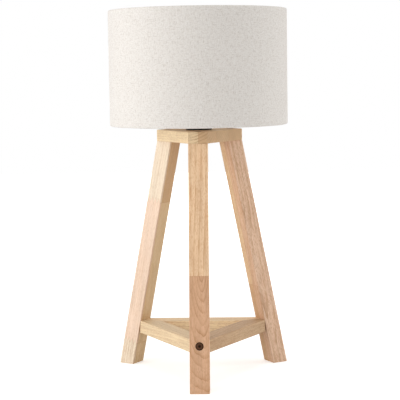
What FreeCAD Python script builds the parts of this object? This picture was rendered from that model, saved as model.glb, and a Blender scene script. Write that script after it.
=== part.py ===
import FreeCAD, Part
import math
import os

import Sketcher
from FreeCAD import Vector

# A tripod table lamp: three splayed wooden legs under a solid wooden plate, an open three-bar
# tray low between the legs, a screw-in lamp holder on the plate and a drum shade around it.
# The part stands on z = 0 with +Z up, one leg points along -Y, and the origin is the middle
# of the ground that the lamp covers.

# Driving sizes, in millimetres and degrees.
SIZES = (
    # Wooden stand
    ("plate_reach", 70.0, "lamp axis to a cut corner of the top plate"),
    ("plate_thickness", 18.0, "top plate"),
    ("plate_underside", 370.0, "floor to the underside of the top plate"),
    ("leg_width", 30.0, "leg, across its outer face"),
    ("leg_depth", 25.5, "leg, from its outer face to its inner face"),
    ("splay", 12.4, "lean of each leg from the vertical"),
    ("arris", 0.8, "rounding along the wooden edges"),
    ("tray_top", 74.0, "floor to the top of the tray"),
    ("tray_thickness", 20.0, "tray bar, top to bottom"),
    ("tray_bar_width", 30.0, "tray bar, outer side to inner side"),
    ("tray_end_bevel", 5.0, "lean of the tray's corner faces"),
    ("tray_end_gap", 0.2, "tray corner to the leg's inner face"),
    # Bolts, threaded inserts and dowels of the stand
    ("bolt_diameter", 6.0, "bolt shank"),
    ("bolt_head_diameter", 12.0, "flat bolt head"),
    ("bolt_head_height", 2.4, "flat bolt head"),
    ("bolt_head_bevel", 0.4, "bevel round the bolt head"),
    ("bolt_gap", 0.3, "bolt to its hole, all round"),
    ("socket_flats", 4.0, "hexagon socket, across its flats"),
    ("socket_depth", 2.6, "hexagon socket"),
    ("insert_diameter", 9.0, "threaded insert"),
    ("insert_length", 13.0, "threaded insert"),
    ("insert_inset", 4.0, "leg's inner face to the insert in the tray"),
    ("thread_gap", 0.05, "between a thread and its mating thread"),
    ("glue_gap", 0.05, "dowel or insert to its hole"),
    ("hole_spare", 1.0, "depth of a blind hole past what it holds"),
    ("dowel_diameter", 6.0, "beech dowel"),
    ("leg_dowel_depth", 18.0, "dowel inside the leg"),
    ("dowel_cover", 6.0, "wood left above a dowel in the plate"),
    ("tray_dowel_length", 24.0, "dowel across a tray mitre"),
    # Threaded tube through the plate, which the flex comes in by
    ("nipple_diameter", 10.0, "threaded tube"),
    ("nipple_bore", 7.0, "way for the flex through the threaded tube"),
    ("nipple_gap", 0.25, "threaded tube to the plate's hole"),
    ("nipple_end", 2.0, "threaded tube below its nut"),
    ("nipple_into_cap", 12.0, "threaded tube above the plate"),
    ("washer_diameter", 24.0, "washer under the plate"),
    ("washer_thickness", 1.5, "washer under the plate"),
    ("nut_flats", 14.0, "nut, across its flats"),
    ("nut_thickness", 4.0, "nut"),
    # Lamp holder
    ("cap_diameter", 42.0, "lower cap of the lamp holder"),
    ("cap_height", 28.0, "lower cap of the lamp holder"),
    ("cap_wall", 2.4, "side of the cap"),
    ("cap_floor", 3.0, "bottom of the cap"),
    ("cap_bevel", 1.5, "bevel round the foot of the cap"),
    ("boss_diameter", 16.0, "threaded boss inside the cap"),
    ("boss_height", 14.0, "boss, which carries the contact block"),
    ("block_thickness", 8.0, "contact block"),
    ("sleeve_gap", 0.15, "skirt or contact block to the cap's bore"),
    ("skirt_bore", 33.8, "inside of the holder skirt"),
    ("skirt_step", 2.5, "skirt between the cap's rim and the flange"),
    ("flange_diameter", 47.0, "flange that the shade rests on"),
    ("flange_thickness", 2.5, "flange that the shade rests on"),
    ("thread_diameter", 39.5, "outer thread of the skirt"),
    ("thread_length", 25.0, "outer thread of the skirt"),
    ("shell_bore", 27.3, "brass screw shell, inside"),
    ("shell_gauge", 0.5, "sheet brass"),
    ("shell_height", 28.0, "brass screw shell"),
    ("shell_hole", 14.0, "hole in the bottom of the screw shell"),
    ("contact_width", 5.0, "centre contact strip"),
    ("contact_length", 8.4, "centre contact strip"),
    ("contact_rise", 3.7, "centre contact strip, unloaded height"),
    ("terminal_diameter", 3.0, "terminal screw"),
    ("terminal_head_diameter", 5.0, "terminal screw head"),
    ("terminal_head_height", 2.0, "terminal screw head"),
    # Bulb
    ("bulb_gap", 0.3, "bulb's contact above the centre contact"),
    ("bulb_contact_diameter", 9.0, "contact under the bulb"),
    ("bulb_contact_height", 1.5, "contact under the bulb"),
    ("insulator_diameter", 19.0, "black insulator under the bulb's cap"),
    ("insulator_height", 3.0, "black insulator under the bulb's cap"),
    ("bulb_cap_diameter", 26.4, "metal screw cap of the bulb"),
    ("bulb_cap_height", 22.5, "metal screw cap of the bulb"),
    ("bulb_cap_bevel", 2.5, "slope at the foot of the screw cap"),
    ("bulb_neck_diameter", 30.0, "neck of the bulb's housing"),
    ("bulb_neck_height", 4.0, "straight neck of the bulb's housing"),
    ("bulb_diameter", 60.0, "bulb, at its widest"),
    ("housing_height", 39.0, "bulb's housing, from cap to dome"),
    ("housing_rim", 8.0, "straight rim at the top of the housing"),
    ("housing_flare", 75.0, "radius of the housing's flare"),
    ("housing_wall", 1.5, "bulb's housing at its rim"),
    ("housing_neck_wall", 3.0, "bulb's housing at its neck"),
    ("led_ledge", 4.0, "ledge that the LED board lies on"),
    ("led_drop", 6.0, "LED ledge below the dome"),
    ("led_thickness", 1.6, "LED board"),
    ("led_gap", 0.2, "LED board to the housing"),
    ("dome_straight", 10.0, "dome below its half ball"),
    ("dome_wall", 1.2, "opal dome"),
    # Shade and the ring that holds it
    ("shade_diameter", 280.0, "drum shade"),
    ("shade_height", 180.0, "drum shade"),
    ("shade_lift", 8.0, "top of the plate to the shade's lower rim"),
    ("fabric_thickness", 0.7, "linen"),
    ("liner_thickness", 0.5, "stiff lining sheet"),
    ("fabric_gap", 0.05, "linen to the lining, and the lining to the wire rings"),
    ("hem_gap", 0.3, "linen to the wire ring inside its hem"),
    ("wire_diameter", 3.0, "wire of the rings and arms"),
    ("weld_gap", 0.3, "end of an arm to the rings that it is welded to"),
    ("hem_flap", 6.0, "linen turned down inside each rim"),
    ("arm_clearance", 0.3, "arm to its notch in the hem"),
    ("fitter_diameter", 59.0, "flat ring at the middle of the arms"),
    ("fitter_thickness", 2.0, "flat ring at the middle of the arms"),
    ("fitter_gap", 1.0, "flat ring to the skirt's thread"),
    ("fitter_play", 0.1, "flat ring to the faces that clamp it"),
    ("ring_gap", 0.3, "shade ring to the skirt's thread"),
    ("ring_flange_diameter", 54.0, "shade ring's flange"),
    ("ring_flange_thickness", 2.0, "shade ring's flange"),
    ("ring_collar_diameter", 46.0, "shade ring's collar"),
    ("ring_height", 8.0, "shade ring"),
    ("ring_notch_diameter", 4.0, "finger notch in the flange"),
)

# Places worked out from the sizes. Reaches are measured out from the lamp's axis.
PLACES = (
    ("leg_span", "sizes.leg_depth / cos(sizes.splay)"),
    ("foot_reach", "sizes.plate_reach + sizes.plate_underside * tan(sizes.splay)"),
    ("shade_radius", "sizes.shade_diameter / 2"),
    ("axis_y", "(places.foot_reach - places.shade_radius) / 2"),
    ("plate_top", "sizes.plate_underside + sizes.plate_thickness"),
    ("joint_reach", "sizes.plate_reach - places.leg_span / 2"),
    ("dowel_offset", "(sizes.leg_width + sizes.insert_diameter) / 4"),
    ("leg_dowel_length", "sizes.leg_dowel_depth + sizes.plate_thickness - sizes.dowel_cover"),
    ("leg_bolt_length", "sizes.plate_thickness + sizes.insert_length"),
    ("tray_middle", "sizes.tray_top - sizes.tray_thickness / 2"),
    ("tray_reach", "sizes.plate_reach + (sizes.plate_underside - sizes.tray_top)"
                   " * tan(sizes.splay) - places.leg_span - sizes.tray_end_gap"),
    ("tray_foot_reach", "places.tray_reach + sizes.tray_thickness * tan(sizes.tray_end_bevel)"),
    ("tray_side", "places.tray_reach / 2 + sizes.leg_width * sqrt(3) / 4"),
    ("tray_inner_side", "places.tray_side - sizes.tray_bar_width"),
    ("tray_bolt_z", "places.tray_middle + sizes.leg_depth * sin(sizes.splay)"),
    ("tray_bolt_reach", "sizes.plate_reach + (sizes.plate_underside - places.tray_bolt_z)"
                        " * tan(sizes.splay)"),
    ("tray_bolt_length", "sizes.leg_depth + sizes.insert_inset + sizes.insert_length"),
    ("tray_bolt_end", "places.tray_bolt_reach - places.tray_bolt_length * cos(sizes.splay)"),
    ("tray_dowel_reach", "places.tray_inner_side + places.tray_bolt_end / 2"),
    ("nipple_bottom", "sizes.plate_underside - sizes.washer_thickness - sizes.nut_thickness"
                      " - sizes.nipple_end"),
    ("cap_radius", "sizes.cap_diameter / 2"),
    ("cap_bore_radius", "sizes.cap_diameter / 2 - sizes.cap_wall"),
    ("block_top", "sizes.boss_height + sizes.block_thickness"),
    ("flange_bottom", "sizes.cap_height + sizes.skirt_step"),
    ("flange_top", "places.flange_bottom + sizes.flange_thickness"),
    ("terminal_reach", "(sizes.boss_diameter / 2 + places.cap_bore_radius) / 2"),
    ("bulb_base", "places.plate_top + places.block_top + sizes.contact_rise + sizes.bulb_gap"),
    ("bulb_cap_foot", "sizes.bulb_contact_height + sizes.insulator_height"),
    ("housing_foot", "places.bulb_cap_foot + sizes.bulb_cap_height"),
    ("housing_top", "places.housing_foot + sizes.housing_height"),
    ("housing_bore_radius", "sizes.bulb_diameter / 2 - sizes.housing_wall"),
    ("shade_bottom", "places.plate_top + sizes.shade_lift"),
    ("hem_radius", "sizes.wire_diameter / 2 + sizes.hem_gap + sizes.fabric_thickness"),
    ("wire_reach", "places.shade_radius - places.hem_radius"),
    ("fitter_z", "places.plate_top + places.flange_top + sizes.fitter_play"),
    ("arm_drop", "places.fitter_z + sizes.fitter_thickness / 2 - places.shade_bottom"
                 " - places.hem_radius"),
    ("arm_start", "sizes.fitter_diameter / 2 + sizes.weld_gap"),
    ("arm_run", "places.wire_reach - sizes.wire_diameter / 2 - sizes.weld_gap"
                " - places.arm_start"),
    ("ring_z", "places.fitter_z + sizes.fitter_thickness + sizes.fitter_play"),
)

LEG_AZIMUTHS = {"front": 0, "right": 120, "left": -120}
BAR_AZIMUTHS = {"back": 0, "right": -120, "left": 120}
RING_NOTCHES = 8

doc = FreeCAD.newDocument("tripod_table_lamp")
nodes = []


# ---------------------------------------------------------------- sizes and places

def make_sizes():
    """Put every driving size in the spreadsheet, under its alias."""
    sheet = doc.addObject("Spreadsheet::Sheet", "sizes")
    for row, (alias, size, meaning) in enumerate(SIZES, start=1):
        sheet.set(f"A{row}", meaning)
        sheet.set(f"B{row}", str(size))
        sheet.setAlias(f"B{row}", alias)
    doc.recompute()
    return sheet


def make_places():
    """Keep the worked-out places as properties that follow the spreadsheet."""
    places = doc.addObject("App::VarSet", "places")
    for name, _ in PLACES:
        places.addProperty("App::PropertyFloat", name, "Places")
    for name, formula in PLACES:
        places.setExpression(name, formula)
    doc.recompute()


def value(formula):
    return float(sizes.evalExpression(formula))


# ---------------------------------------------------------------- sketches and features

def new_body(name):
    return doc.addObject("PartDesign::Body", name)


def new_sketch(body, plane_role, name, level=None):
    """A sketch on one of the body's own planes, raised by the formula level."""
    sketch = body.newObject("Sketcher::SketchObject", name)
    plane = next(f for f in body.Origin.OriginFeatures if f.Role == plane_role)
    sketch.AttachmentSupport = [(plane, "")]
    sketch.MapMode = "FlatFace"
    if level:
        sketch.setExpression("AttachmentOffset.Base.z", level)
    return sketch


def tie_point(sketch, geometry, end, x, y):
    """Hold a point of the sketch at the formulas x and y from its origin."""
    for kind, formula, axis in (("DistanceX", x, -2), ("DistanceY", y, -1)):
        distance = value(formula)
        if abs(distance) < 1e-9:
            sketch.addConstraint(Sketcher.Constraint("PointOnObject", geometry, end, axis))
            continue
        constraint = Sketcher.Constraint(kind, -1, 1, geometry, end, distance)
        index = sketch.addConstraint(constraint)
        sketch.renameConstraint(index, f"{kind}_{index}")
        sketch.setExpression(f"Constraints.{kind}_{index}", formula)


def arc_between(start, finish, radius, turn):
    """An arc of less than half a circle; turn is 1 anticlockwise, -1 clockwise."""
    chord = finish - start
    middle = (start + finish) / 2
    sideways = Vector(-chord.y, chord.x, 0).normalize()
    centre = middle + sideways * turn * math.sqrt(radius ** 2 - (chord.Length / 2) ** 2)
    first, last = (start, finish) if turn > 0 else (finish, start)
    angles = [math.atan2(p.y - centre.y, p.x - centre.x) for p in (first, last)]
    if angles[1] < angles[0]:
        angles[1] += 2 * math.pi
    circle = Part.Circle(centre, Vector(0, 0, 1), radius)
    return Part.ArcOfCircle(circle, angles[0], angles[1])


def draw_outline(sketch, corners):
    """A closed outline through corners of formulas (x, y), or (x, y, radius, turn) where an
    arc runs from that corner to the next."""
    points = [Vector(value(c[0]), value(c[1]), 0) for c in corners]
    ends = []
    for i, corner in enumerate(corners):
        start = points[i]
        finish = points[(i + 1) % len(points)]
        if len(corner) == 2:
            geometry = sketch.addGeometry(Part.LineSegment(start, finish))
            ends.append((geometry, 1, 2))
            continue
        radius, turn = corner[2:]
        geometry = sketch.addGeometry(arc_between(start, finish, value(radius), turn))
        ends.append((geometry, 1, 2) if turn > 0 else (geometry, 2, 1))
    for i, (geometry, first, last) in enumerate(ends):
        follower = ends[(i + 1) % len(ends)]
        sketch.addConstraint(
            Sketcher.Constraint("Coincident", geometry, last, follower[0], follower[1]))
    for corner, (geometry, first, last) in zip(corners, ends):
        tie_point(sketch, geometry, first, corner[0], corner[1])
        if len(corner) == 4:
            index = sketch.addConstraint(
                Sketcher.Constraint("Radius", geometry, value(corner[2])))
            sketch.renameConstraint(index, f"Radius_{index}")
            sketch.setExpression(f"Constraints.Radius_{index}", corner[2])


def draw_circle(sketch, diameter, x="0", y="0"):
    centre = Vector(value(x), value(y), 0)
    circle = Part.Circle(centre, Vector(0, 0, 1), value(diameter) / 2)
    geometry = sketch.addGeometry(circle)
    tie_point(sketch, geometry, 3, x, y)
    index = sketch.addConstraint(Sketcher.Constraint("Diameter", geometry, value(diameter)))
    sketch.renameConstraint(index, f"Diameter_{index}")
    sketch.setExpression(f"Constraints.Diameter_{index}", diameter)


def hexagon(flats):
    """The corners of a regular hexagon, by its size across the flats."""
    corner = f"({flats}) / sqrt(3)"
    return [(f"{corner} * cos({angle})", f"{corner} * sin({angle})")
            for angle in range(0, 360, 60)]


def pad(body, sketch, length, symmetric=False):
    feature = body.newObject("PartDesign::Pad", f"{body.Name}_pad")
    feature.Profile = sketch
    feature.SideType = "Symmetric" if symmetric else "One side"
    feature.setExpression("Length", length)
    doc.recompute()
    return feature


def pocket(body, sketch, depth, upwards=False):
    """Cut the sketch into the body, and make sure that it took something away."""
    before = body.Shape.Volume
    feature = body.newObject("PartDesign::Pocket", f"{body.Name}_pocket")
    feature.Profile = sketch
    feature.Reversed = upwards
    feature.setExpression("Length", depth)
    doc.recompute()
    if feature.Shape.Volume >= before:
        raise RuntimeError(f"{feature.Label} cuts nothing")
    return feature


def revolve(name, corners):
    """A turned piece from its outline of (radius, height) corners."""
    body = new_body(name)
    sketch = new_sketch(body, "XZ_Plane", f"{name}_section")
    draw_outline(sketch, corners)
    feature = body.newObject("PartDesign::Revolution", f"{name}_turned")
    feature.Profile = sketch
    feature.ReferenceAxis = (sketch, ["V_Axis"])
    feature.Angle = 360
    doc.recompute()
    return body


def tube(name, outer, inner, length):
    """A straight tube that stands on its lower end, by its two diameters."""
    body = new_body(name)
    sketch = new_sketch(body, "XY_Plane", f"{name}_section")
    draw_circle(sketch, outer)
    draw_circle(sketch, inner)
    pad(body, sketch, length)
    return body


def round_edges(body, feature, left_sharp=None):
    """Break the edges of a wooden blank by the arris, apart from those whose two ends both
    pass the test left_sharp."""
    chosen = [f"Edge{number}" for number, edge in enumerate(feature.Shape.Edges, start=1)
              if not left_sharp or not all(left_sharp(v.Point) for v in edge.Vertexes)]
    rounding = body.newObject("PartDesign::Fillet", f"{body.Name}_arris")
    rounding.Base = (feature, chosen)
    rounding.setExpression("Radius", "sizes.arris")
    doc.recompute()


def on_mitre(point):
    """Whether a point of the back bar lies on the plane of one of its mitres."""
    return abs(point.y - abs(point.x) / math.sqrt(3)) < 1e-4


def around(azimuth, place=""):
    """A turn about the lamp's axis, ahead of the placement formula place."""
    turn = f"placement(vector(0; 0; 0); rotationz({azimuth}))"
    return f"{turn} * {place}" if place else turn


def rod(name, diameter, length, place):
    """A round bar or drill, with its axis and start given by a placement formula."""
    cylinder = doc.addObject("Part::Cylinder", name)
    cylinder.setExpression("Radius", f"({diameter}) / 2")
    cylinder.setExpression("Height", length)
    cylinder.setExpression("Placement", place)
    return cylinder


def cut(name, base, tools):
    """Take the tools out of the base, and make sure that each of them reaches it."""
    fused = doc.addObject("Part::MultiFuse", f"{name}_tools")
    fused.Shapes = tools
    result = doc.addObject("Part::Cut", name)
    result.Base = base
    result.Tool = fused
    doc.recompute()
    for tool in tools:
        if not base.Shape.common(tool.Shape).Solids:
            raise RuntimeError(f"{name} loses nothing to {tool.Label}")
    return result


def group(name, pieces):
    compound = doc.addObject("Part::Compound", name)
    compound.Links = pieces
    return compound


def finish(piece, label, azimuth=0, level="0", solids=1):
    """Name a sub-part, set it on the lamp's axis and list it with its count of solids."""
    piece.Label = label
    piece.setExpression(
        "Placement", f"placement(vector(0; places.axis_y; {level}); rotationz({azimuth}))")
    nodes.append((piece, solids))


# ---------------------------------------------------------------- lines of the fasteners

def plate_line(azimuth, depth, sideways="0"):
    """Straight down through the middle of a leg's top, from depth below the plate's top."""
    start = f"vector({sideways}; -places.joint_reach; places.plate_top - ({depth}))"
    return around(azimuth, f"placement({start}; rotationx(180))")


def tray_line(azimuth, depth):
    """Square into a leg's outer face at the tray bolt, from depth below that face."""
    seat = ("placement(vector(0; -places.tray_bolt_reach; places.tray_bolt_z);"
            " rotationx(-90 - sizes.splay))")
    return around(azimuth, f"{seat} * placement(vector(0; 0; {depth}); rotationx(0))")


def mitre_line(azimuth):
    """Square across the tray's mitre, from one end of its dowel."""
    start = "vector(-sizes.tray_dowel_length / 2; -places.tray_dowel_reach; places.tray_middle)"
    return around(azimuth, f"placement({start}; rotationy(90))")


def dowel_hole(name, length, place):
    """A drill for a dowel, longer than it by the spare depth at each end."""
    spare = "placement(vector(0; 0; -sizes.hole_spare); rotationx(0))"
    return rod(name, "sizes.dowel_diameter + 2 * sizes.glue_gap",
               f"({length}) + 2 * sizes.hole_spare", f"{place} * {spare}")


# ---------------------------------------------------------------- wooden stand

def leg_joint_drills(azimuth, name):
    """What is drilled from the top of the plate down into one leg: two dowel holes, the
    bolt's hole and the wider hole of its insert."""
    drills = []
    for side, sign in (("a", "-"), ("b", "")):
        place = plate_line(azimuth, "sizes.dowel_cover", f"{sign}places.dowel_offset")
        drills.append(dowel_hole(f"{name}_dowel_{side}", "places.leg_dowel_length", place))
    drills.append(rod(f"{name}_bolt", "sizes.bolt_diameter + 2 * sizes.bolt_gap",
                      "places.leg_bolt_length + sizes.hole_spare", plate_line(azimuth, "0")))
    return drills


def make_top_plate():
    """A triangular block with its corners cut off to the width of the legs."""
    body = new_body("plate_blank")
    sketch = new_sketch(body, "XY_Plane", "plate_outline")
    half = "sizes.leg_width / 2"
    reach = "sizes.plate_reach"
    near = (f"{reach} * sin(60) + {half} / 2", f"{reach} / 2 - {half} * sin(60)")
    far = (f"{reach} * sin(60) - {half} / 2", f"{reach} / 2 + {half} * sin(60)")
    right = [(half, f"-{reach}"), near, far]
    left = [(f"-({x})", y) for x, y in reversed(right)]
    draw_outline(sketch, right + left)
    block = pad(body, sketch, "sizes.plate_thickness")
    round_edges(body, block)
    body.setExpression("Placement.Base.z", "sizes.plate_underside")

    drills = [rod("nipple_hole", "sizes.nipple_diameter + 2 * sizes.nipple_gap",
                  "sizes.plate_thickness",
                  "placement(vector(0; 0; sizes.plate_underside); rotationx(0))")]
    for side, azimuth in LEG_AZIMUTHS.items():
        drills += leg_joint_drills(azimuth, f"plate_{side}")
        drills.append(rod(f"plate_{side}_head", "sizes.bolt_head_diameter + 2 * sizes.bolt_gap",
                          "sizes.bolt_head_height", plate_line(azimuth, "0")))
    finish(cut("top_plate_cut", body, drills), "top_plate")


def make_leg(side, azimuth):
    """A square-cornered leg that leans out, cut level where it meets plate and floor."""
    body = new_body(f"{side}_leg_blank")
    sketch = new_sketch(body, "YZ_Plane", f"{side}_leg_outline")
    draw_outline(sketch, [
        ("-sizes.plate_reach", "sizes.plate_underside"),
        ("-(sizes.plate_reach - places.leg_span)", "sizes.plate_underside"),
        ("-(places.foot_reach - places.leg_span)", "0"),
        ("-places.foot_reach", "0"),
    ])
    blank = pad(body, sketch, "sizes.leg_width", symmetric=True)
    round_edges(body, blank)

    name = f"{side}_leg"
    drills = leg_joint_drills(0, name)
    drills.append(rod(f"{name}_insert_hole", "sizes.insert_diameter + 2 * sizes.glue_gap",
                      "sizes.insert_length + sizes.glue_gap",
                      plate_line(0, "sizes.plate_thickness")))
    drills.append(rod(f"{name}_tray_bolt_hole", "sizes.bolt_diameter + 2 * sizes.bolt_gap",
                      "sizes.leg_depth + sizes.hole_spare", tray_line(0, "0")))
    drills.append(rod(f"{name}_head_hole", "sizes.bolt_head_diameter + 2 * sizes.bolt_gap",
                      "sizes.bolt_head_height + sizes.hole_spare",
                      tray_line(0, "-sizes.hole_spare")))
    finish(cut(f"{name}_cut", body, drills), name, azimuth)


def bevel_block(name, azimuth):
    """What is sawn off a tray corner, so that its face leans out towards the bottom. The
    block reaches past the corner on every side."""
    block = doc.addObject("Part::Box", name)
    block.setExpression("Length", "2 * sizes.leg_width")
    block.setExpression("Width", "sizes.leg_width")
    block.setExpression("Height", "3 * sizes.tray_thickness")
    edge = ("placement(vector(0; -places.tray_reach; sizes.tray_top);"
            " rotationx(-sizes.tray_end_bevel))")
    corner = "vector(-sizes.leg_width; -sizes.leg_width; -2 * sizes.tray_thickness)"
    block.setExpression(
        "Placement", around(azimuth, f"{edge} * placement({corner}; rotationx(0))"))
    return block


def make_tray_bar(side, azimuth):
    """One of the tray's three bars, mitred and bevelled at both ends, with half of the
    drilling at each mitre."""
    body = new_body(f"tray_{side}_blank")
    sketch = new_sketch(body, "XY_Plane", f"tray_{side}_plan")
    reach = "places.tray_foot_reach"
    right = [
        ("places.tray_inner_side * sqrt(3)", "places.tray_inner_side"),
        (f"{reach} * sin(60)", f"{reach} / 2"),
        (f"({reach} - places.tray_side / 2) * 2 / sqrt(3)", "places.tray_side"),
    ]
    left = [(f"-({x})", y) for x, y in reversed(right)]
    draw_outline(sketch, right + left)
    blank = pad(body, sketch, "sizes.tray_thickness")
    round_edges(body, blank, left_sharp=on_mitre)
    body.setExpression("Placement.Base.z", "sizes.tray_top - sizes.tray_thickness")

    name = f"tray_{side}_bar"
    drills = []
    for end, corner in (("a", LEG_AZIMUTHS["right"]), ("b", LEG_AZIMUTHS["left"])):
        drills.append(bevel_block(f"{name}_bevel_{end}", corner))
        drills.append(rod(f"{name}_insert_{end}", "sizes.insert_diameter + 2 * sizes.glue_gap",
                          "sizes.insert_inset + sizes.insert_length + sizes.hole_spare",
                          tray_line(corner, "sizes.leg_depth")))
        drills.append(dowel_hole(f"{name}_dowel_{end}", "sizes.tray_dowel_length",
                                 mitre_line(corner)))
    finish(cut(f"{name}_cut", body, drills), name, azimuth)


def make_bolt(name, length, place):
    """A flat-headed bolt with a hexagon socket; its head starts at the placement."""
    head = "sizes.bolt_head_diameter / 2"
    shank = "sizes.bolt_diameter / 2"
    body = revolve(f"{name}_blank", [
        ("0", "0"),
        (f"{head} - sizes.bolt_head_bevel", "0"),
        (head, "sizes.bolt_head_bevel"),
        (head, "sizes.bolt_head_height"),
        (shank, "sizes.bolt_head_height"),
        (shank, length),
        ("0", length),
    ])
    sketch = new_sketch(body, "XY_Plane", f"{name}_socket")
    draw_outline(sketch, hexagon("sizes.socket_flats"))
    pocket(body, sketch, "sizes.socket_depth", upwards=True)
    body.setExpression("Placement", place)
    return body


def make_insert(name, place):
    body = tube(name, "sizes.insert_diameter", "sizes.bolt_diameter + 2 * sizes.thread_gap",
                "sizes.insert_length")
    body.setExpression("Placement", place)
    return body


def make_stand_fasteners():
    """Six bolts in two groups, their inserts, and the dowels of both kinds of joint."""
    kinds = {kind: [] for kind in ("leg_bolts", "leg_inserts", "leg_dowels",
                                   "tray_bolts", "tray_inserts", "tray_dowels")}
    for side, azimuth in LEG_AZIMUTHS.items():
        kinds["leg_bolts"].append(make_bolt(
            f"leg_bolt_{side}", "places.leg_bolt_length", plate_line(azimuth, "0")))
        kinds["leg_inserts"].append(make_insert(
            f"leg_insert_{side}", plate_line(azimuth, "sizes.plate_thickness")))
        for number, sign in ((1, "-"), (2, "")):
            place = plate_line(azimuth, "sizes.dowel_cover", f"{sign}places.dowel_offset")
            kinds["leg_dowels"].append(rod(
                f"leg_dowel_{side}_{number}", "sizes.dowel_diameter",
                "places.leg_dowel_length", place))
        kinds["tray_bolts"].append(make_bolt(
            f"tray_bolt_{side}", "places.tray_bolt_length", tray_line(azimuth, "0")))
        kinds["tray_inserts"].append(make_insert(
            f"tray_insert_{side}",
            tray_line(azimuth, "sizes.leg_depth + sizes.insert_inset")))
        kinds["tray_dowels"].append(rod(
            f"tray_dowel_{side}", "sizes.dowel_diameter", "sizes.tray_dowel_length",
            mitre_line(azimuth)))
    for kind, pieces in kinds.items():
        finish(group(f"{kind}_group", pieces), kind, solids=len(pieces))


# ---------------------------------------------------------------- lamp holder

def make_cable_entry():
    """The threaded tube through the plate, with the washer and nut that pull it tight."""
    nipple = tube("nipple", "sizes.nipple_diameter", "sizes.nipple_bore",
                  "places.plate_top + sizes.nipple_into_cap - places.nipple_bottom")
    finish(nipple, "threaded_nipple", level="places.nipple_bottom")

    hole = "sizes.nipple_diameter + 2 * sizes.nipple_gap"
    washer = tube("washer", "sizes.washer_diameter", hole, "sizes.washer_thickness")
    finish(washer, "nipple_washer", level="sizes.plate_underside - sizes.washer_thickness")

    nut = new_body("nut")
    sketch = new_sketch(nut, "XY_Plane", "nut_outline")
    draw_outline(sketch, hexagon("sizes.nut_flats"))
    draw_circle(sketch, "sizes.nipple_diameter + 2 * sizes.thread_gap")
    pad(nut, sketch, "sizes.nut_thickness")
    finish(nut, "nipple_nut", level="places.nipple_bottom + sizes.nipple_end")


def make_holder_cap():
    """The cup that stands on the plate, with the threaded boss in its middle."""
    bore = "sizes.nipple_diameter / 2 + sizes.thread_gap"
    boss = "sizes.boss_diameter / 2"
    cap = revolve("cap", [
        (bore, "0"),
        ("places.cap_radius - sizes.cap_bevel", "0"),
        ("places.cap_radius", "sizes.cap_bevel"),
        ("places.cap_radius", "sizes.cap_height"),
        ("places.cap_bore_radius", "sizes.cap_height"),
        ("places.cap_bore_radius", "sizes.cap_floor"),
        (boss, "sizes.cap_floor"),
        (boss, "sizes.boss_height"),
        (bore, "sizes.boss_height"),
    ])
    finish(cap, "holder_cap", level="places.plate_top")


def make_contact_block():
    """The insulating disc that carries the contacts, clamped between cap and skirt."""
    block = new_body("block")
    sketch = new_sketch(block, "XY_Plane", "block_outline")
    draw_circle(sketch, "2 * (places.cap_bore_radius - sizes.sleeve_gap)")
    for sign in ("-", ""):
        draw_circle(sketch, "sizes.terminal_diameter + 2 * sizes.thread_gap",
                    x=f"{sign}places.terminal_reach")
    pad(block, sketch, "sizes.block_thickness")
    finish(block, "contact_block", level="places.plate_top + sizes.boss_height")


def make_terminal_screws():
    """Two screws that come up through the contact block, their heads below it."""
    head = "sizes.terminal_head_diameter / 2"
    shank = "sizes.terminal_diameter / 2"
    top = "sizes.terminal_head_height + sizes.block_thickness"
    screws = []
    for side, sign in (("left", "-"), ("right", "")):
        screw = revolve(f"terminal_screw_{side}", [
            ("0", "0"),
            (head, "0"),
            (head, "sizes.terminal_head_height"),
            (shank, "sizes.terminal_head_height"),
            (shank, top),
            ("0", top),
        ])
        screw.setExpression("Placement.Base.x", f"{sign}places.terminal_reach")
        screws.append(screw)
    finish(group("terminal_screw_pair", screws), "terminal_screws", solids=len(screws),
           level="places.plate_top + sizes.boss_height - sizes.terminal_head_height")


def make_holder_skirt():
    """The upper sleeve: a spigot inside the cap, the flange under the shade's ring and the
    outer thread above it."""
    bore = "sizes.skirt_bore / 2"
    spigot = "places.cap_bore_radius - sizes.sleeve_gap"
    thread = "sizes.thread_diameter / 2"
    flange = "sizes.flange_diameter / 2"
    skirt = revolve("skirt", [
        (bore, "places.block_top"),
        (spigot, "places.block_top"),
        (spigot, "sizes.cap_height"),
        ("places.cap_radius", "sizes.cap_height"),
        ("places.cap_radius", "places.flange_bottom"),
        (flange, "places.flange_bottom"),
        (flange, "places.flange_top"),
        (thread, "places.flange_top"),
        (thread, "places.flange_top + sizes.thread_length"),
        (bore, "places.flange_top + sizes.thread_length"),
    ])
    finish(skirt, "holder_skirt", level="places.plate_top")


def make_screw_shell():
    """The brass cup that the bulb screws into, standing on the contact block."""
    inside = "sizes.shell_bore / 2"
    outside = "sizes.shell_bore / 2 + sizes.shell_gauge"
    shell = revolve("shell", [
        ("sizes.shell_hole / 2", "0"),
        (outside, "0"),
        (outside, "sizes.shell_height"),
        (inside, "sizes.shell_height"),
        (inside, "sizes.shell_gauge"),
        ("sizes.shell_hole / 2", "sizes.shell_gauge"),
    ])
    finish(shell, "screw_shell", level="places.plate_top + places.block_top")


def make_centre_contact():
    """A brass strip folded back on itself, so that its free end rises to the bulb. The fold
    leaves a space as wide as the strip is thick."""
    half = "sizes.contact_length / 2"
    gauge = "sizes.shell_gauge"
    rise = "sizes.contact_rise"
    fold = f"3 * {gauge}"
    contact = new_body("contact")
    sketch = new_sketch(contact, "XZ_Plane", "contact_side")
    draw_outline(sketch, [
        (f"-{half}", "0"),
        (half, "0"),
        (half, fold),
        (f"-{half} / 2", rise),
        (f"-{half} / 2", f"{rise} - {gauge}"),
        (f"{half} - {gauge}", f"{fold} - {gauge}"),
        (f"{half} - {gauge}", gauge),
        (f"-{half}", gauge),
    ])
    pad(contact, sketch, "sizes.contact_width", symmetric=True)
    finish(contact, "centre_contact", level="places.plate_top + places.block_top")


# ---------------------------------------------------------------- bulb

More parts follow.
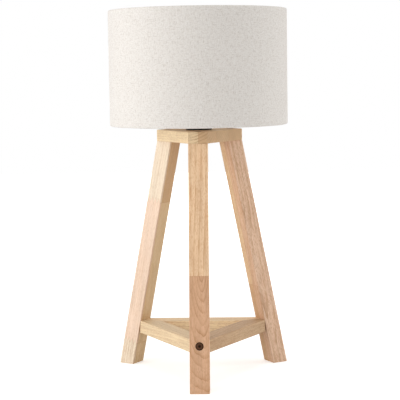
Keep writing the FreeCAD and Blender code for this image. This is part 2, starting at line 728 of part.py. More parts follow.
def make_bulb_foot():
    """The bulb's contact, the black insulator round it and the metal screw cap."""
    contact = "sizes.bulb_contact_diameter / 2"
    low = "sizes.bulb_contact_height"
    insulator = "sizes.insulator_diameter / 2"
    cap = "sizes.bulb_cap_diameter / 2"
    foot = "places.bulb_cap_foot"
    gauge = "sizes.shell_gauge"
    finish(revolve("foot_contact", [("0", "0"), (contact, "0"), (contact, low), ("0", low)]),
           "bulb_contact", level="places.bulb_base")
    finish(revolve("foot_insulator", [
        ("0", low),
        (contact, low),
        (insulator, foot),
        ("0", foot),
    ]), "bulb_insulator", level="places.bulb_base")
    finish(revolve("foot_cap", [
        ("0", foot),
        (insulator, foot),
        (cap, f"{foot} + sizes.bulb_cap_bevel"),
        (cap, "places.housing_foot"),
        (f"{cap} - {gauge}", "places.housing_foot"),
        (f"{cap} - {gauge}", f"{foot} + sizes.bulb_cap_bevel"),
        (insulator, f"{foot} + {gauge}"),
        ("0", f"{foot} + {gauge}"),
    ]), "bulb_cap", level="places.bulb_base")


def make_bulb_housing():
    """The white cone between cap and dome, with a ledge inside for the LED board."""
    neck = "sizes.bulb_neck_diameter / 2"
    rim = "sizes.bulb_diameter / 2"
    inside = "places.housing_bore_radius"
    ledge = f"{inside} - sizes.led_ledge"
    shoulder = "places.housing_foot + sizes.bulb_neck_height"
    ledge_z = "places.housing_top - sizes.led_drop"
    throat = f"{neck} - sizes.housing_neck_wall"
    finish(revolve("housing", [
        (throat, "places.housing_foot"),
        (neck, "places.housing_foot"),
        (neck, shoulder, "sizes.housing_flare", -1),
        (rim, "places.housing_top - sizes.housing_rim"),
        (rim, "places.housing_top"),
        (inside, "places.housing_top"),
        (inside, ledge_z),
        (ledge, ledge_z),
        (throat, shoulder),
    ]), "bulb_housing", level="places.bulb_base")


def make_led_board():
    edge = "places.housing_bore_radius - sizes.led_gap"
    low = "places.housing_top - sizes.led_drop"
    high = f"{low} + sizes.led_thickness"
    finish(revolve("board", [("0", low), (edge, low), (edge, high), ("0", high)]),
           "bulb_led_board", level="places.bulb_base")


def make_bulb_dome():
    """The opal dome: a short straight wall under a half ball."""
    outside = "sizes.bulb_diameter / 2"
    inside = f"{outside} - sizes.dome_wall"
    spring = "places.housing_top + sizes.dome_straight"
    finish(revolve("dome", [
        (inside, "places.housing_top"),
        (outside, "places.housing_top"),
        (outside, spring, outside, 1),
        ("0", f"{spring} + {outside}"),
        ("0", f"{spring} + {inside}", inside, -1),
        (inside, spring),
    ]), "bulb_dome", level="places.bulb_base")


# ---------------------------------------------------------------- shade

def wire_ring(name, level):
    ring = doc.addObject("Part::Torus", name)
    ring.setExpression("Radius1", "places.wire_reach")
    ring.setExpression("Radius2", "sizes.wire_diameter / 2")
    finish(ring, name, level=level)
    return ring


def arm_rod(name, azimuth, clearance="0", level="0"):
    """One arm, or the notch that clears it, from the flat ring down to the lower wire ring,
    whose middle lies at the formula level."""
    slope = "atan(places.arm_drop / places.arm_run)"
    start = f"vector(0; -places.arm_start; places.arm_drop + ({level}))"
    return rod(name, f"sizes.wire_diameter + 2 * ({clearance})",
               f"places.arm_run / cos({slope}) + ({clearance})",
               around(azimuth, f"placement({start}; rotationx(90 deg + {slope}))"))


def make_fitter():
    """The flat ring that sits on the holder's flange, and the three arms that join it to
    the lower wire ring."""
    bore = "sizes.thread_diameter + 2 * sizes.fitter_gap"
    finish(tube("fitter", "sizes.fitter_diameter", bore, "sizes.fitter_thickness"),
           "shade_fitter_ring", level="places.fitter_z")
    arms = [arm_rod(f"arm_{side}", azimuth) for side, azimuth in LEG_AZIMUTHS.items()]
    finish(group("arm_group", arms), "shade_arms", solids=len(arms),
           level="places.shade_bottom + places.hem_radius")


def make_liner():
    """The stiff sheet that keeps the drum round, between the two wire rings."""
    inner_gap = "2 * (places.hem_radius + sizes.wire_diameter / 2 + sizes.fabric_gap)"
    outer = "sizes.shade_diameter - 2 * (sizes.fabric_thickness + sizes.fabric_gap)"
    liner = tube("liner", outer, f"{outer} - 2 * sizes.liner_thickness",
                 f"sizes.shade_height - {inner_gap}")
    finish(liner, "shade_liner", level=f"places.shade_bottom + ({inner_gap}) / 2")


def make_fabric():
    """The linen drum, turned over a wire ring at each rim and down inside it."""
    outer = "places.shade_radius"
    hem = "places.hem_radius"
    fabric = "sizes.fabric_thickness"
    centre = "places.wire_reach"
    low = hem
    high = f"sizes.shade_height - {hem}"
    inner_turn = f"({hem} - {fabric})"
    drum = revolve("drum", [
        (outer, low),
        (outer, high, hem, 1),
        (centre, "sizes.shade_height", hem, 1),
        (f"{centre} - {hem}", high),
        (f"{centre} - {hem}", f"{high} - sizes.hem_flap"),
        (f"{centre} - {inner_turn}", f"{high} - sizes.hem_flap"),
        (f"{centre} - {inner_turn}", high, inner_turn, -1),
        (centre, f"sizes.shade_height - {fabric}", inner_turn, -1),
        (f"{outer} - {fabric}", high),
        (f"{outer} - {fabric}", low, inner_turn, -1),
        (centre, fabric, inner_turn, -1),
        (f"{centre} - {inner_turn}", low),
        (f"{centre} - {inner_turn}", f"{low} + sizes.hem_flap"),
        (f"{centre} - {hem}", f"{low} + sizes.hem_flap"),
        (f"{centre} - {hem}", low, hem, 1),
        (centre, "0", hem, 1),
    ])
    notches = [arm_rod(f"hem_notch_{side}", azimuth, "sizes.arm_clearance", hem)
               for side, azimuth in LEG_AZIMUTHS.items()]
    finish(cut("drum_cut", drum, notches), "shade_fabric", level="places.shade_bottom")


def make_shade_ring():
    """The threaded ring that clamps the shade down, with finger notches in its flange."""
    bore = "sizes.thread_diameter / 2 + sizes.ring_gap"
    flange = "sizes.ring_flange_diameter / 2"
    collar = "sizes.ring_collar_diameter / 2"
    ring = revolve("ring", [
        (bore, "0"),
        (flange, "0"),
        (flange, "sizes.ring_flange_thickness"),
        (collar, "sizes.ring_flange_thickness"),
        (collar, "sizes.ring_height"),
        (bore, "sizes.ring_height"),
    ])
    sketch = new_sketch(ring, "XY_Plane", "ring_notch")
    draw_circle(sketch, "sizes.ring_notch_diameter", x=flange)
    notch = pocket(ring, sketch, "sizes.ring_flange_thickness", upwards=True)
    pattern = ring.newObject("PartDesign::PolarPattern", "ring_notches")
    pattern.Originals = [notch]
    pattern.Axis = (next(f for f in ring.Origin.OriginFeatures if f.Role == "Z_Axis"), [""])
    pattern.Angle = 360
    pattern.Occurrences = RING_NOTCHES
    ring.Tip = pattern
    finish(ring, "shade_ring", level="places.ring_z")


# ---------------------------------------------------------------- checks and hand-over

def check_document():
    """Stop if any object failed, or any sub-part lacks one of its solids."""
    for item in doc.Objects:
        if "Invalid" in item.State or "Error" in item.State:
            raise RuntimeError(f"{item.Label} failed: {item.State}")
    for node, solids in nodes:
        shape = node.Shape
        if shape.isNull() or not shape.isValid() or len(shape.Solids) != solids:
            raise RuntimeError(f"{node.Label} does not hold {solids} valid solids")


def write_steps():
    os.makedirs("parts", exist_ok=True)
    for node, _ in nodes:
        node.Shape.exportStep(f"parts/{node.Label}.step")
        box = node.Shape.BoundBox
        print(f"{node.Label:18s} solids {len(node.Shape.Solids)}"
              f"  x {box.XMin:7.1f} {box.XMax:7.1f}  y {box.YMin:7.1f} {box.YMax:7.1f}"
              f"  z {box.ZMin:6.1f} {box.ZMax:6.1f}")


sizes = make_sizes()
make_places()
make_top_plate()
for leg_side, leg_azimuth in LEG_AZIMUTHS.items():
    make_leg(leg_side, leg_azimuth)
for bar_side, bar_azimuth in BAR_AZIMUTHS.items():
    make_tray_bar(bar_side, bar_azimuth)
make_stand_fasteners()
make_cable_entry()
make_holder_cap()
make_contact_block()
make_terminal_screws()
make_holder_skirt()
make_screw_shell()
make_centre_contact()
make_bulb_foot()
make_bulb_housing()
make_led_board()
make_bulb_dome()
wire_ring("shade_bottom_ring", "places.shade_bottom + places.hem_radius")
wire_ring("shade_top_ring", "places.shade_bottom + sizes.shade_height - places.hem_radius")
make_fitter()
make_liner()
make_fabric()
make_shade_ring()
doc.recompute()
check_document()
write_steps()
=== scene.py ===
import math

import bmesh
import bpy
from bpy.props import FloatProperty, FloatVectorProperty, IntProperty, PointerProperty
from mathutils import Matrix, Vector


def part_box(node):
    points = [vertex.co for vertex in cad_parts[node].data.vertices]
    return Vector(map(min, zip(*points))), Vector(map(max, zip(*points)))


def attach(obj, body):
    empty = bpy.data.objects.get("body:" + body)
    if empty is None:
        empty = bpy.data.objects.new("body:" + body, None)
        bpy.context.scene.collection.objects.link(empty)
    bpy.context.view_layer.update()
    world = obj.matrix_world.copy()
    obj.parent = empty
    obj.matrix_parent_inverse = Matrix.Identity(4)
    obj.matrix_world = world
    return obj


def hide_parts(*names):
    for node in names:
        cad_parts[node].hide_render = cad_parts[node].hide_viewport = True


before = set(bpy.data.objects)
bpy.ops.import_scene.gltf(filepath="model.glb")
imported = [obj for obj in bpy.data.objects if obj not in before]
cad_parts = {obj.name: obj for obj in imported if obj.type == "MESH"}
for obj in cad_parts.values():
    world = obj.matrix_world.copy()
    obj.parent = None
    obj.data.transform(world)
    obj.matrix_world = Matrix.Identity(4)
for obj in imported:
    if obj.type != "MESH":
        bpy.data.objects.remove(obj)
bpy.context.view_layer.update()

bl_info = {
    "name": "Tripod table lamp",
    "version": (1, 0, 0),
    "blender": (4, 5, 0),
    "location": "View3D > Sidebar > Lamp",
    "description": "Finishes a wooden tripod table lamp with a linen drum shade",
    "category": "Object",
}

MM = 0.001
TURN = 2 * math.pi
LEG_AZIMUTHS = {"front": 0.0, "right": TURN / 3, "left": -TURN / 3}
BAR_AZIMUTHS = {"back": 0.0, "right": -TURN / 3, "left": TURN / 3}
# From the outer face of a leg or a bar to the line that its grain is drawn about
LEG_GRAIN_INSET = 13 * MM
BAR_GRAIN_INSET = 10 * MM
BOLT_HEAD_HEIGHT = 2.4 * MM
BOLT_SOCKET_FLATS = 3.6 * MM
TUBE_PITCH = 1 * MM
TUBE_WALL = 1.5 * MM
HOLDER_PITCH = 3 * MM
HOLDER_THREAD_RADIUS = 19.75 * MM
RING_THREAD_RADIUS = 20.05 * MM
BULB_PITCH = 3.63 * MM
# How far the middle of the sheet metal lies within the outside of shell and cap
SHEET_INSET = 0.25 * MM


# -------- places read from the frame

def middle(node):
    low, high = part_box(node)
    return (low + high) / 2


AXIS = middle("shade_fitter_ring").xy.to_3d()
SHADE_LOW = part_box("shade_fabric")[0].z
SHADE_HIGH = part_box("shade_fabric")[1].z
SHADE_RADIUS = (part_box("shade_fabric")[1].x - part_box("shade_fabric")[0].x) / 2
WIRE_RADIUS = (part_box("shade_bottom_ring")[1].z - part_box("shade_bottom_ring")[0].z) / 2
WIRE_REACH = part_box("shade_bottom_ring")[1].x - WIRE_RADIUS


def srgb(code):
    """A colour written as six hexadecimal digits, in the linear values that sockets take."""
    shares = [int(code[i:i + 2], 16) / 255 for i in (0, 2, 4)]
    return tuple(s / 12.92 if s <= 0.04045 else ((s + 0.055) / 1.055) ** 2.4 for s in shares)


# -------- settings

def length(name, default, description):
    return FloatProperty(name=name, default=default, unit="LENGTH", precision=5,
                         description=description)


def colour(name, code, description):
    return FloatVectorProperty(name=name, default=srgb(code), subtype="COLOR",
                               min=0.0, max=1.0, description=description)


def angle(name, degrees, description):
    return FloatProperty(name=name, default=math.radians(degrees), unit="ROTATION",
                         description=description)


def power(name, watts, description):
    return FloatProperty(name=name, default=watts, min=0.0, unit="POWER",
                         description=description)


class WoodSettings(bpy.types.PropertyGroup):
    splay: angle("Splay", 12.4, "Lean of each leg from the vertical")
    leg_height: length("Leg height", 0.4, "Height that ends the highest stave")
    leg_board: length("Leg board", 15.5 * MM, "Width of the boards of the right leg")
    plate_board: length("Plate board", 34 * MM, "Width of the boards of the plate")
    cream: colour("Cream", "FDEBD3", "Palest wood")
    peach: colour("Peach", "EFD6B4", "Pale warm wood")
    blush: colour("Blush", "F4D9C3", "Pale pinkish wood")
    rose: colour("Rose", "EAC0A0", "Warm pinkish brown wood")
    honey: colour("Honey", "B8894F", "Yellowish streaks")
    straw: colour("Straw", "F7DDB4", "Pale yellowish wood")
    tan: colour("Tan", "E3C097", "Middle tone of the wood")
    pink: colour("Pink", "ECCBB0", "Pinkish boards")
    streak: colour("Streak", "B4855C", "Dark streaks and pores")
    end_grain: colour("End grain", "BF9D78", "Wood cut across its grain")


class ShadeSettings(bpy.types.PropertyGroup):
    cloth: length("Cloth", 0.5 * MM, "Thickness of the linen")
    flap: length("Hem flap", 6 * MM, "Linen turned down inside each rim")
    lap: length("Lap", 10 * MM, "Overlap of the linen's two ends at the back")
    thread: length("Thread", 0.85 * MM, "Distance between two threads of the weave")
    columns: IntProperty(name="Columns", default=720, min=90,
                         description="Faces around the drum")
    linen: colour("Linen", "ECE6DF", "Middle tone of the linen")
    linen_light: colour("Pale thread", "F9F6F2", "Palest threads")
    linen_dark: colour("Dark thread", "A89A8C", "Darkest flecks")


class FittingSettings(bpy.types.PropertyGroup):
    bronze: colour("Bronze", "33200F", "Dark bronze of the bolt heads")
    # Paler bronze on the flat face of each head: a painted highlight, along with rubbing
    highlit_worn_bronze: colour("Worn bronze", "6A4836", "Bronze where it is rubbed")
    zinc: colour("Zinc", "B9BBBA", "Zinc plating")
    black: colour("Black", "17171A", "Moulded lamp holder")
    brass: colour("Brass", "C9A25E", "Screw shell and contacts")
    wire_coat: colour("Wire coat", "E8E6E0", "Coating of the shade's wires")
    lining: colour("Lining", "F1EFEA", "Stiff lining film of the shade")
    bulb_white: colour("Bulb white", "EDEDEA", "Housing of the bulb")
    opal: colour("Opal", "F7F6F2", "Dome of the bulb")


class StageSettings(bpy.types.PropertyGroup):
    camera_distance: length("Camera distance", 2.0216, "Camera to the lamp's axis")
    camera_height: length("Camera height", 0.48207, "Camera above the floor")
    camera_azimuth: angle("Camera azimuth", 1.682, "Camera to the right of the front leg")
    camera_pitch: angle("Camera pitch", 5.81, "Camera's look below the horizon")
    camera_roll: angle("Camera roll", -0.843, "Turn of the camera about its line of sight")
    lens: FloatProperty(name="Lens", default=115.08, min=1.0,
                        description="Focal length in millimetres on a 36 mm sensor")
    key_power: power("Key power", 20.0, "Soft light at the left")
    rim_power: power("Rim power", 11.0, "Soft light at the right")
    top_power: power("Top power", 6.0, "Soft light above the shade's open top")
    sky: FloatProperty(name="Sky", default=0.67, min=0.0,
                       description="Light from all around")
    floor: colour("Floor", "F0F0EF", "Floor under the lamp")
    floor_lift: FloatProperty(name="Floor lift", default=0.45, min=0.0, max=1.0,
                              description="Brightness that the view adds to the floor")


# -------- node trees

class Value:
    """What a socket gives. Plain signs of maths on values add the nodes for them."""

    def __init__(self, socket):
        self.socket = socket

    def __add__(self, other):
        return calculate("ADD", self, other)

    def __sub__(self, other):
        return calculate("SUBTRACT", self, other)

    def __mul__(self, other):
        return calculate("MULTIPLY", self, other)

    def __truediv__(self, other):
        return calculate("DIVIDE", self, other)

    def __rtruediv__(self, other):
        return calculate("DIVIDE", other, self)

    def __abs__(self):
        return calculate("ABSOLUTE", self)


class Outputs:
    """The values that a node gives, by name or number."""

    def __init__(self, node):
        self.sockets = node.outputs

    def __getitem__(self, key):
        return Value(self.sockets[key])


def feed(node, inputs):
    """Link or set a node's inputs, by name or number."""
    for key, given in inputs.items():
        socket = node.inputs[key]
        if isinstance(given, Value):
            node.id_data.links.new(given.socket, socket)
        else:
            socket.default_value = (*given, 1.0) if socket.type == "RGBA" else given


def place(tree, kind, inputs=None, **settings):
    """Add a node, apply its settings and inputs, and return its outputs."""
    node = tree.nodes.new(kind)
    for name, setting in settings.items():
        setattr(node, name, setting)
    feed(node, inputs or {})
    return Outputs(node)


def tree_of(*parts):
    """The tree that the first value among some parts belongs to."""
    return next(part.socket.id_data for part in parts if isinstance(part, Value))


def is_point(part):
    if isinstance(part, Value):
        return part.socket.type in ("VECTOR", "RGBA")
    return isinstance(part, tuple)


def calculate(operation, first, second=0.0, third=0.0):
    """One step of maths, on points where either side is one."""
    if is_point(first) or is_point(second):
        return calculate_point(operation, first, second)
    return place(tree_of(first, second, third), "ShaderNodeMath",
                 {0: first, 1: second, 2: third}, operation=operation)[0]


def calculate_point(operation, first, second=(0.0, 0.0, 0.0), output="Vector"):
    return place(tree_of(first, second), "ShaderNodeVectorMath", {0: first, 1: second},
                 operation=operation)[output]


def scaled(point, amount):
    return place(tree_of(point), "ShaderNodeVectorMath", {0: point, "Scale": amount},
                 operation="SCALE")["Vector"]


def combine(x, y, z=0.0):
    return place(tree_of(x, y, z), "ShaderNodeCombineXYZ", {0: x, 1: y, 2: z})[0]


def separate(point):
    return place(tree_of(point), "ShaderNodeSeparateXYZ", {0: point})


def noise(point, scale, detail=2.0, roughness=0.5, output="Fac"):
    return place(tree_of(point), "ShaderNodeTexNoise", {
        "Vector": point, "Scale": scale, "Detail": detail, "Roughness": roughness})[output]


def remap(given, low, high, start=0.0, end=1.0, smooth=False):
    """Stretch the range low to high over start to end, clamped."""
    return place(tree_of(given), "ShaderNodeMapRange",
                 {0: given, 1: low, 2: high, 3: start, 4: end},
                 interpolation_type="SMOOTHSTEP" if smooth else "LINEAR")[0]


# Numbers of a mix node's first input and of its output, for each kind of data
MIX_SOCKETS = {"FLOAT": (2, 0), "VECTOR": (4, 1), "RGBA": (6, 2)}


def blend(amount, first, second, kind="RGBA", mode="MIX"):
    start, end = MIX_SOCKETS[kind]
    return place(tree_of(amount, first, second), "ShaderNodeMix",
                 {0: amount, start: first, start + 1: second},
                 data_type=kind, blend_type=mode)[end]


FLOAT = "NodeSocketFloat"
INTEGER = "NodeSocketInt"
VECTOR = "NodeSocketVector"
COLOUR = "NodeSocketColor"
GEOMETRY = "NodeSocketGeometry"


def new_tree(kind, name, inputs, outputs):
    """A node group with its sockets; inputs are (name, type, default), outputs (name, type).
    Returns the tree, the values given to it and the node that takes its results."""
    tree = bpy.data.node_groups.new(name, kind)
    for socket_name, socket_type, default in inputs:
        socket = tree.interface.new_socket(socket_name, in_out="INPUT", socket_type=socket_type)
        if default is not None:
            socket.default_value = default
    for socket_name, socket_type in outputs:
        tree.interface.new_socket(socket_name, in_out="OUTPUT", socket_type=socket_type)
    given = place(tree, "NodeGroupInput")
    return tree, given, tree.nodes.new("NodeGroupOutput")


# -------- shared shader effects

# Group inputs that a stave may set, with what they are where it doesn't
STAVE_LOOK = {
    "Seed": 0.0, "Ring Strength": 0.5, "Ring Spacing": 4.2 * MM, "Pith": (0.03, 0.05, 0.0),
    "Drift": (0.0, 0.0, 0.0), "Board Width": 1.0, "Board Start": 0.5, "Figure": 1.0,
    "Brightness": 1.0,
}
# Furthest that a board's grain is moved against the pith and along itself
BOARD_SHIFT = (12 * MM, 18 * MM, 0.9)


def late_wood(tree, given, bent, along):
    """The dark part of each growth ring. The pith drifts sideways along the board."""
    from_pith = bent - (given["Pith"] + scaled(given["Drift"], along))
    rings = place(tree, "ShaderNodeTexWave", {
        "Vector": from_pith * (1.0, 1.0, 0.02), "Scale": TURN / 20 / given["Ring Spacing"],
        "Distortion": 3.4, "Detail": 2.0, "Detail Scale": 0.8, "Detail Roughness": 0.5,
    }, wave_type="RINGS", rings_direction="Z", wave_profile="SAW")["Fac"]
    return calculate("POWER", rings, 4.0)


def wood_grain_group():
    """Growth rings, fibres, pores and glued boards of pale hardwood, with the grain along Z
    and the boards side by side along X, in two tones by turns."""
    tree, given, result = new_tree("ShaderNodeTree", "Wood grain", [
        ("Vector", VECTOR, None),
        *((name, VECTOR if isinstance(usual, tuple) else FLOAT, usual)
          for name, usual in STAVE_LOOK.items()),
        ("End Grain", FLOAT, 0.0), ("Flat Sawn", FLOAT, 0.0), ("First", COLOUR, None),
        ("Second", COLOUR, None), ("Streak", COLOUR, None), ("Cut", COLOUR, None),
    ], [("Color", COLOUR), ("Roughness", FLOAT), ("Height", FLOAT)])
    spot = separate(given["Vector"])

    board_place = given["Board Start"] + spot["X"] / given["Board Width"]
    board = calculate("FLOOR", board_place)
    chance = separate(place(tree, "ShaderNodeTexWhiteNoise", {
        "W": board * 3.17 + given["Seed"]}, noise_dimensions="1D")["Color"])
    # Board 0 keeps the pith where it is given, and the others have theirs elsewhere
    other = calculate("MINIMUM", abs(board), 1.0)
    in_board = given["Vector"] + combine(
        chance["X"] * other, chance["Y"] * other, chance["Z"]) * BOARD_SHIFT

    # Slow wander of the grain along the board
    wander = noise(in_board * (1.0, 1.0, 0.3), 22.0, 1.0, output="Color") - (0.5, 0.5, 0.5)
    bent = in_board + wander * (10 * MM, 10 * MM, 0.0)
    late = late_wood(tree, given, bent, spot["Z"])

    # Fibres, pores and broad tone, all drawn out along the grain
    fibre_place = bent * (1.0, 1.0, 0.03)
    fibres = noise(fibre_place, scale=560.0, detail=3.0, roughness=0.65)
    pores = remap(noise(bent * (1.0, 1.0, 0.22), scale=900.0, detail=1.0), 0.52, 0.62)
    tone = noise(bent * (1.0, 1.0, 0.14), scale=80.0, roughness=0.55)
    streaks = remap(noise(fibre_place, scale=170.0), 0.53, 0.76)

    base = blend(calculate("PINGPONG", board, 1.0), given["First"], given["Second"])
    uneven = remap(noise(in_board, scale=55.0, detail=1.0), 0.35, 0.65, 0.25, 1.5)
    ring_amount = late * (given["Ring Strength"] * uneven) * remap(
        given["End Grain"], 0.0, 1.0, 1.0, 3.2)
    figure = [given["Figure"] * amount for amount in (
        remap(fibres, 0.42, 0.70, 0.0, 0.40), streaks * 0.34, pores * 0.36)]
    # The last mix is painted shade: it darkens the faces that look across the boards, such as a
    # leg's inner and outer faces.
    for amount in (ring_amount, *figure, given["Flat Sawn"]):
        base = blend(amount, base, given["Streak"])

    # Cut ends take up more oil, and each board takes it up a little differently
    end_amount = given["End Grain"] * remap(chance["Y"], 0.2, 0.8, 0.0, 0.85)
    base = blend(end_amount, base, given["Cut"])
    light = (remap(chance["Z"], 0.0, 1.0, 0.96, 1.03) * remap(tone, 0.25, 0.75, 1.05, 0.90)
             * given["Brightness"])
    base = blend(1.0, base, light, mode="MULTIPLY")

    # A thin glue line where two boards meet
    from_joint = abs(calculate("FRACT", board_place + 0.5) - 0.5)
    joint = calculate("LESS_THAN", from_joint, 0.35 * MM / given["Board Width"])
    feed(result, {
        "Color": blend(joint * 0.5, base, given["Streak"]),
        "Roughness": remap(fibres, 0.3, 0.7, 0.48, 0.60) + given["End Grain"] * 0.12,
        "Height": fibres * 0.35 - (pores * 0.6 + late * 0.25)})
    return tree


def weave_group():
    """A plain weave of slubbed threads. Vector is the place on the cloth in metres."""
    tree, given, result = new_tree("ShaderNodeTree", "Plain weave", [
        ("Vector", VECTOR, None), ("Thread", FLOAT, 0.85 * MM),
    ], [("Height", FLOAT), ("Tone", FLOAT), ("Fleck", FLOAT)])
    # Threads wander a little from a true grid
    drift = noise(given["Vector"], 260.0, output="Color") - (0.5, 0.5, 0.5)
    threads = separate(given["Vector"] / combine(given["Thread"], given["Thread"], 1.0)
                       + drift * (1.1, 1.1, 0.0))
    ways = []
    for across, along in (("X", "Y"), ("Y", "X")):
        number = calculate("FLOOR", threads[across])
        within = calculate("FRACT", threads[across]) - 0.5
        # Each thread is thick and thin along its length
        strand = combine(number * 0.731, threads[along] * 0.085)
        ways.append((number, calculate("COSINE", within * math.pi),
                     noise(strand, 1.0, roughness=0.6)))
    (number, profile, thickness), (other_number, other_profile, other_thickness) = ways
    checker = calculate("PINGPONG", number + other_number, 1.0)
    upper = calculate("MULTIPLY_ADD", checker, profile - other_profile, other_profile)
    thick = calculate("MULTIPLY_ADD", checker, thickness - other_thickness, other_thickness)
    # Husk flecks, drawn out along both ways of the cloth
    cloth = separate(given["Vector"])
    flecks = [remap(noise(combine(cloth["X"] * wide, cloth["Y"] * tall), 1.0, 1.0), 0.56, 0.74)
              for wide, tall in ((170.0, 640.0), (640.0, 150.0))]
    feed(result, {"Height": upper * (thick + 0.55), "Tone": remap(thick, 0.32, 0.70),
                  "Fleck": calculate("MAXIMUM", *flecks)})
    return tree


def wear_group():
    """Faint rubbing and handling marks: a mask of worn patches and a varied roughness."""
    tree, given, result = new_tree("ShaderNodeTree", "Handling wear", [
        ("Vector", VECTOR, None), ("Size", FLOAT, 4 * MM), ("Roughness", FLOAT, 0.4),
        ("Spread", FLOAT, 0.08),
    ], [("Mask", FLOAT), ("Roughness", FLOAT), ("Height", FLOAT)])
    scale = 1.0 / given["Size"]
    broad = noise(given["Vector"], scale, detail=3.0, roughness=0.6)
    swing = (broad - 0.5) * given["Spread"]
    feed(result, {
        "Mask": remap(broad, 0.52, 0.72),
        "Roughness": calculate("MULTIPLY_ADD", swing, 2.0, given["Roughness"]),
        "Height": noise(given["Vector"], scale * 12.0, roughness=0.6)})
    return tree


# -------- materials

def new_material(name, **uniform):
    """A material with a Principled shader; uniform numbers go on the shader's own sockets."""
    material = bpy.data.materials.new(name)
    material.use_nodes = True
    tree = material.node_tree
    shader = tree.nodes["Principled BSDF"]
    feed(shader, {name.replace("_", " "): number for name, number in uniform.items()})
    return material, tree, shader


def shared_group(name):
    return bpy.data.node_groups.get(name) or GROUP_MAKERS[name]()


def use_group(tree, name, inputs):
    return place(tree, "ShaderNodeGroup", inputs, node_tree=shared_group(name))


def finish_shader(tree, shader, tone, bump, distance, strength=1.0, roughness=None):
    """Feed a shader its colour, the bumps of its surface and any varied roughness."""
    normal = place(tree, "ShaderNodeBump", {
        "Strength": strength, "Distance": distance, "Height": bump})["Normal"]
    feed(shader, {"Base Color": tone, "Normal": normal})
    if roughness:
        feed(shader, {"Roughness": roughness})


def pick(above, choices, kind):
    """A number, colour or point for each stave: the first below the lowest joint, the next
    above it, and so on."""
    picked = choices[0]
    for mask, choice in zip(above, choices[1:]):
        if choice != picked:
            picked = blend(mask, picked, choice, kind)
    return picked


def finger_joints(grain_place, heights):
    """Masks that are 1 above each finger joint, and one that is 1 in the glue lines. The
    fingers point along the grain and show on the faces that look along X."""
    spot = separate(grain_place)
    finger = calculate("PINGPONG", spot["Y"], 3 * MM)
    level = calculate("MULTIPLY_ADD", finger, -3.0, spot["Z"])
    glue = 0.0
    for height in heights:
        in_glue = calculate("LESS_THAN", abs(level - height), 0.5 * MM)
        glue = calculate("MAXIMUM", glue, in_glue)
    return [calculate("GREATER_THAN", level, height) for height in heights], glue


def wood_material(name, grain_frame, *staves, flat_sawn=0.0, streak="streak"):
    """Oiled wood whose grain runs along the Z axis of grain_frame, a 4 x 4 matrix. Each
    stave is (height it ends at, tones, look): the tones name the settings' colours of two
    boards by turns, and look has group inputs."""
    settings = bpy.context.scene.lamp_wood
    material, tree, shader = new_material(name, Specular_IOR_Level=0.3)
    coordinates = place(tree, "ShaderNodeTexCoord")
    grain_place = place(tree, "ShaderNodeMapping", {
        "Vector": coordinates["Object"], "Location": grain_frame.to_translation(),
        "Rotation": grain_frame.to_euler(),
    }, vector_type="TEXTURE")["Vector"]
    facing_across, facing = (
        abs(calculate_point("DOT_PRODUCT", coordinates["Normal"],
                            grain_frame.to_3x3() @ Vector(way), output="Value"))
        for way in ((0, 1, 0), (0, 0, 1)))
    heights, tones, looks = zip(*staves)
    above, glue = finger_joints(grain_place, heights[:-1])
    inputs = {
        "Vector": grain_place,
        "End Grain": remap(facing, 0.45, 0.8, smooth=True),
        # Painted shade on the faces that look across the boards, as much as the piece asks for
        "Flat Sawn": remap(facing_across, 0.6, 0.9, 0.0, flat_sawn, smooth=True),
        "Streak": getattr(settings, streak), "Cut": settings.end_grain,
    }
    for key, names in zip(("First", "Second"), zip(*tones)):
        inputs[key] = pick(above, [tuple(getattr(settings, tone)) for tone in names], "VECTOR")
    for key, usual in STAVE_LOOK.items():
        choices = [look.get(key.replace(" ", "_").lower(), usual) for look in looks]
        inputs[key] = pick(above, choices, "VECTOR" if isinstance(usual, tuple) else "FLOAT")
    wood = use_group(tree, "Wood grain", inputs)
    tone = wood["Color"]
    if above:
        tone = blend(glue * 0.35, tone, settings.streak)
    finish_shader(tree, shader, tone, wood["Height"], 0.12 * MM, 0.6, wood["Roughness"])
    return material


def use_wear(tree, size, roughness):
    return use_group(tree, "Handling wear", {
        "Vector": place(tree, "ShaderNodeTexCoord")["Object"], "Size": size,
        "Roughness": roughness})


# Smooth finishes, worn in patches: a colour or the setting that has it, the worn colour or
# what the first is multiplied by, the patches' size in mm, roughness, other shader inputs
FINISHES = {
    "zinc_plate": ("zinc", 0.8, 3, 0.35, {"Metallic": 1.0}),
    "zinc_fittings": ("zinc", 0.75, 5, 0.32, {"Metallic": 1.0}),
    "moulded_black": ("black", 2.2, 6, 0.45, {}),
    "white_insulator": ("E6E3DC", "D6D0C4", 6, 0.4, {}),
    "sheet_brass": ("brass", 0.6, 4, 0.3, {"Metallic": 1.0}),
    "nickel_cap": ("C4C3BE", "9C9A94", 4, 0.3, {"Metallic": 1.0}),
    "bulb_housing_white": ("bulb_white", 0.93, 12, 0.35, {}),
    "opal_dome": ("opal", 0.97, 14, 0.28, {"Coat Weight": 0.15}),
    "black_insulator": ("1B1B1E", "2C2C30", 3, 0.2, {}),
    "led_board": ("E9E9E2", "D9D9D0", 5, 0.5, {}),
    "wire_coating": ("wire_coat", 0.9, 7, 0.35, {}),
    "lining_film": ("lining", 0.96, 40, 0.55, {}),
}


def finish(name):
    """The material of a smooth finish, with worn patches and slightly uneven gloss."""
    tone, worn, size, roughness, uniform = FINISHES[name]
    tone = getattr(bpy.context.scene.lamp_fittings, tone, None) or srgb(tone)
    if isinstance(worn, float):
        worn = [min(1.0, part * worn) for part in tone]
    else:
        worn = srgb(worn)
    material, tree, shader = new_material(name, **uniform)
    wear = use_wear(tree, size * MM, roughness)
    faded = blend(wear["Mask"] * 0.6, tone, worn)
    finish_shader(tree, shader, faded, wear["Height"], 0.02 * MM, roughness=wear["Roughness"])
    return material


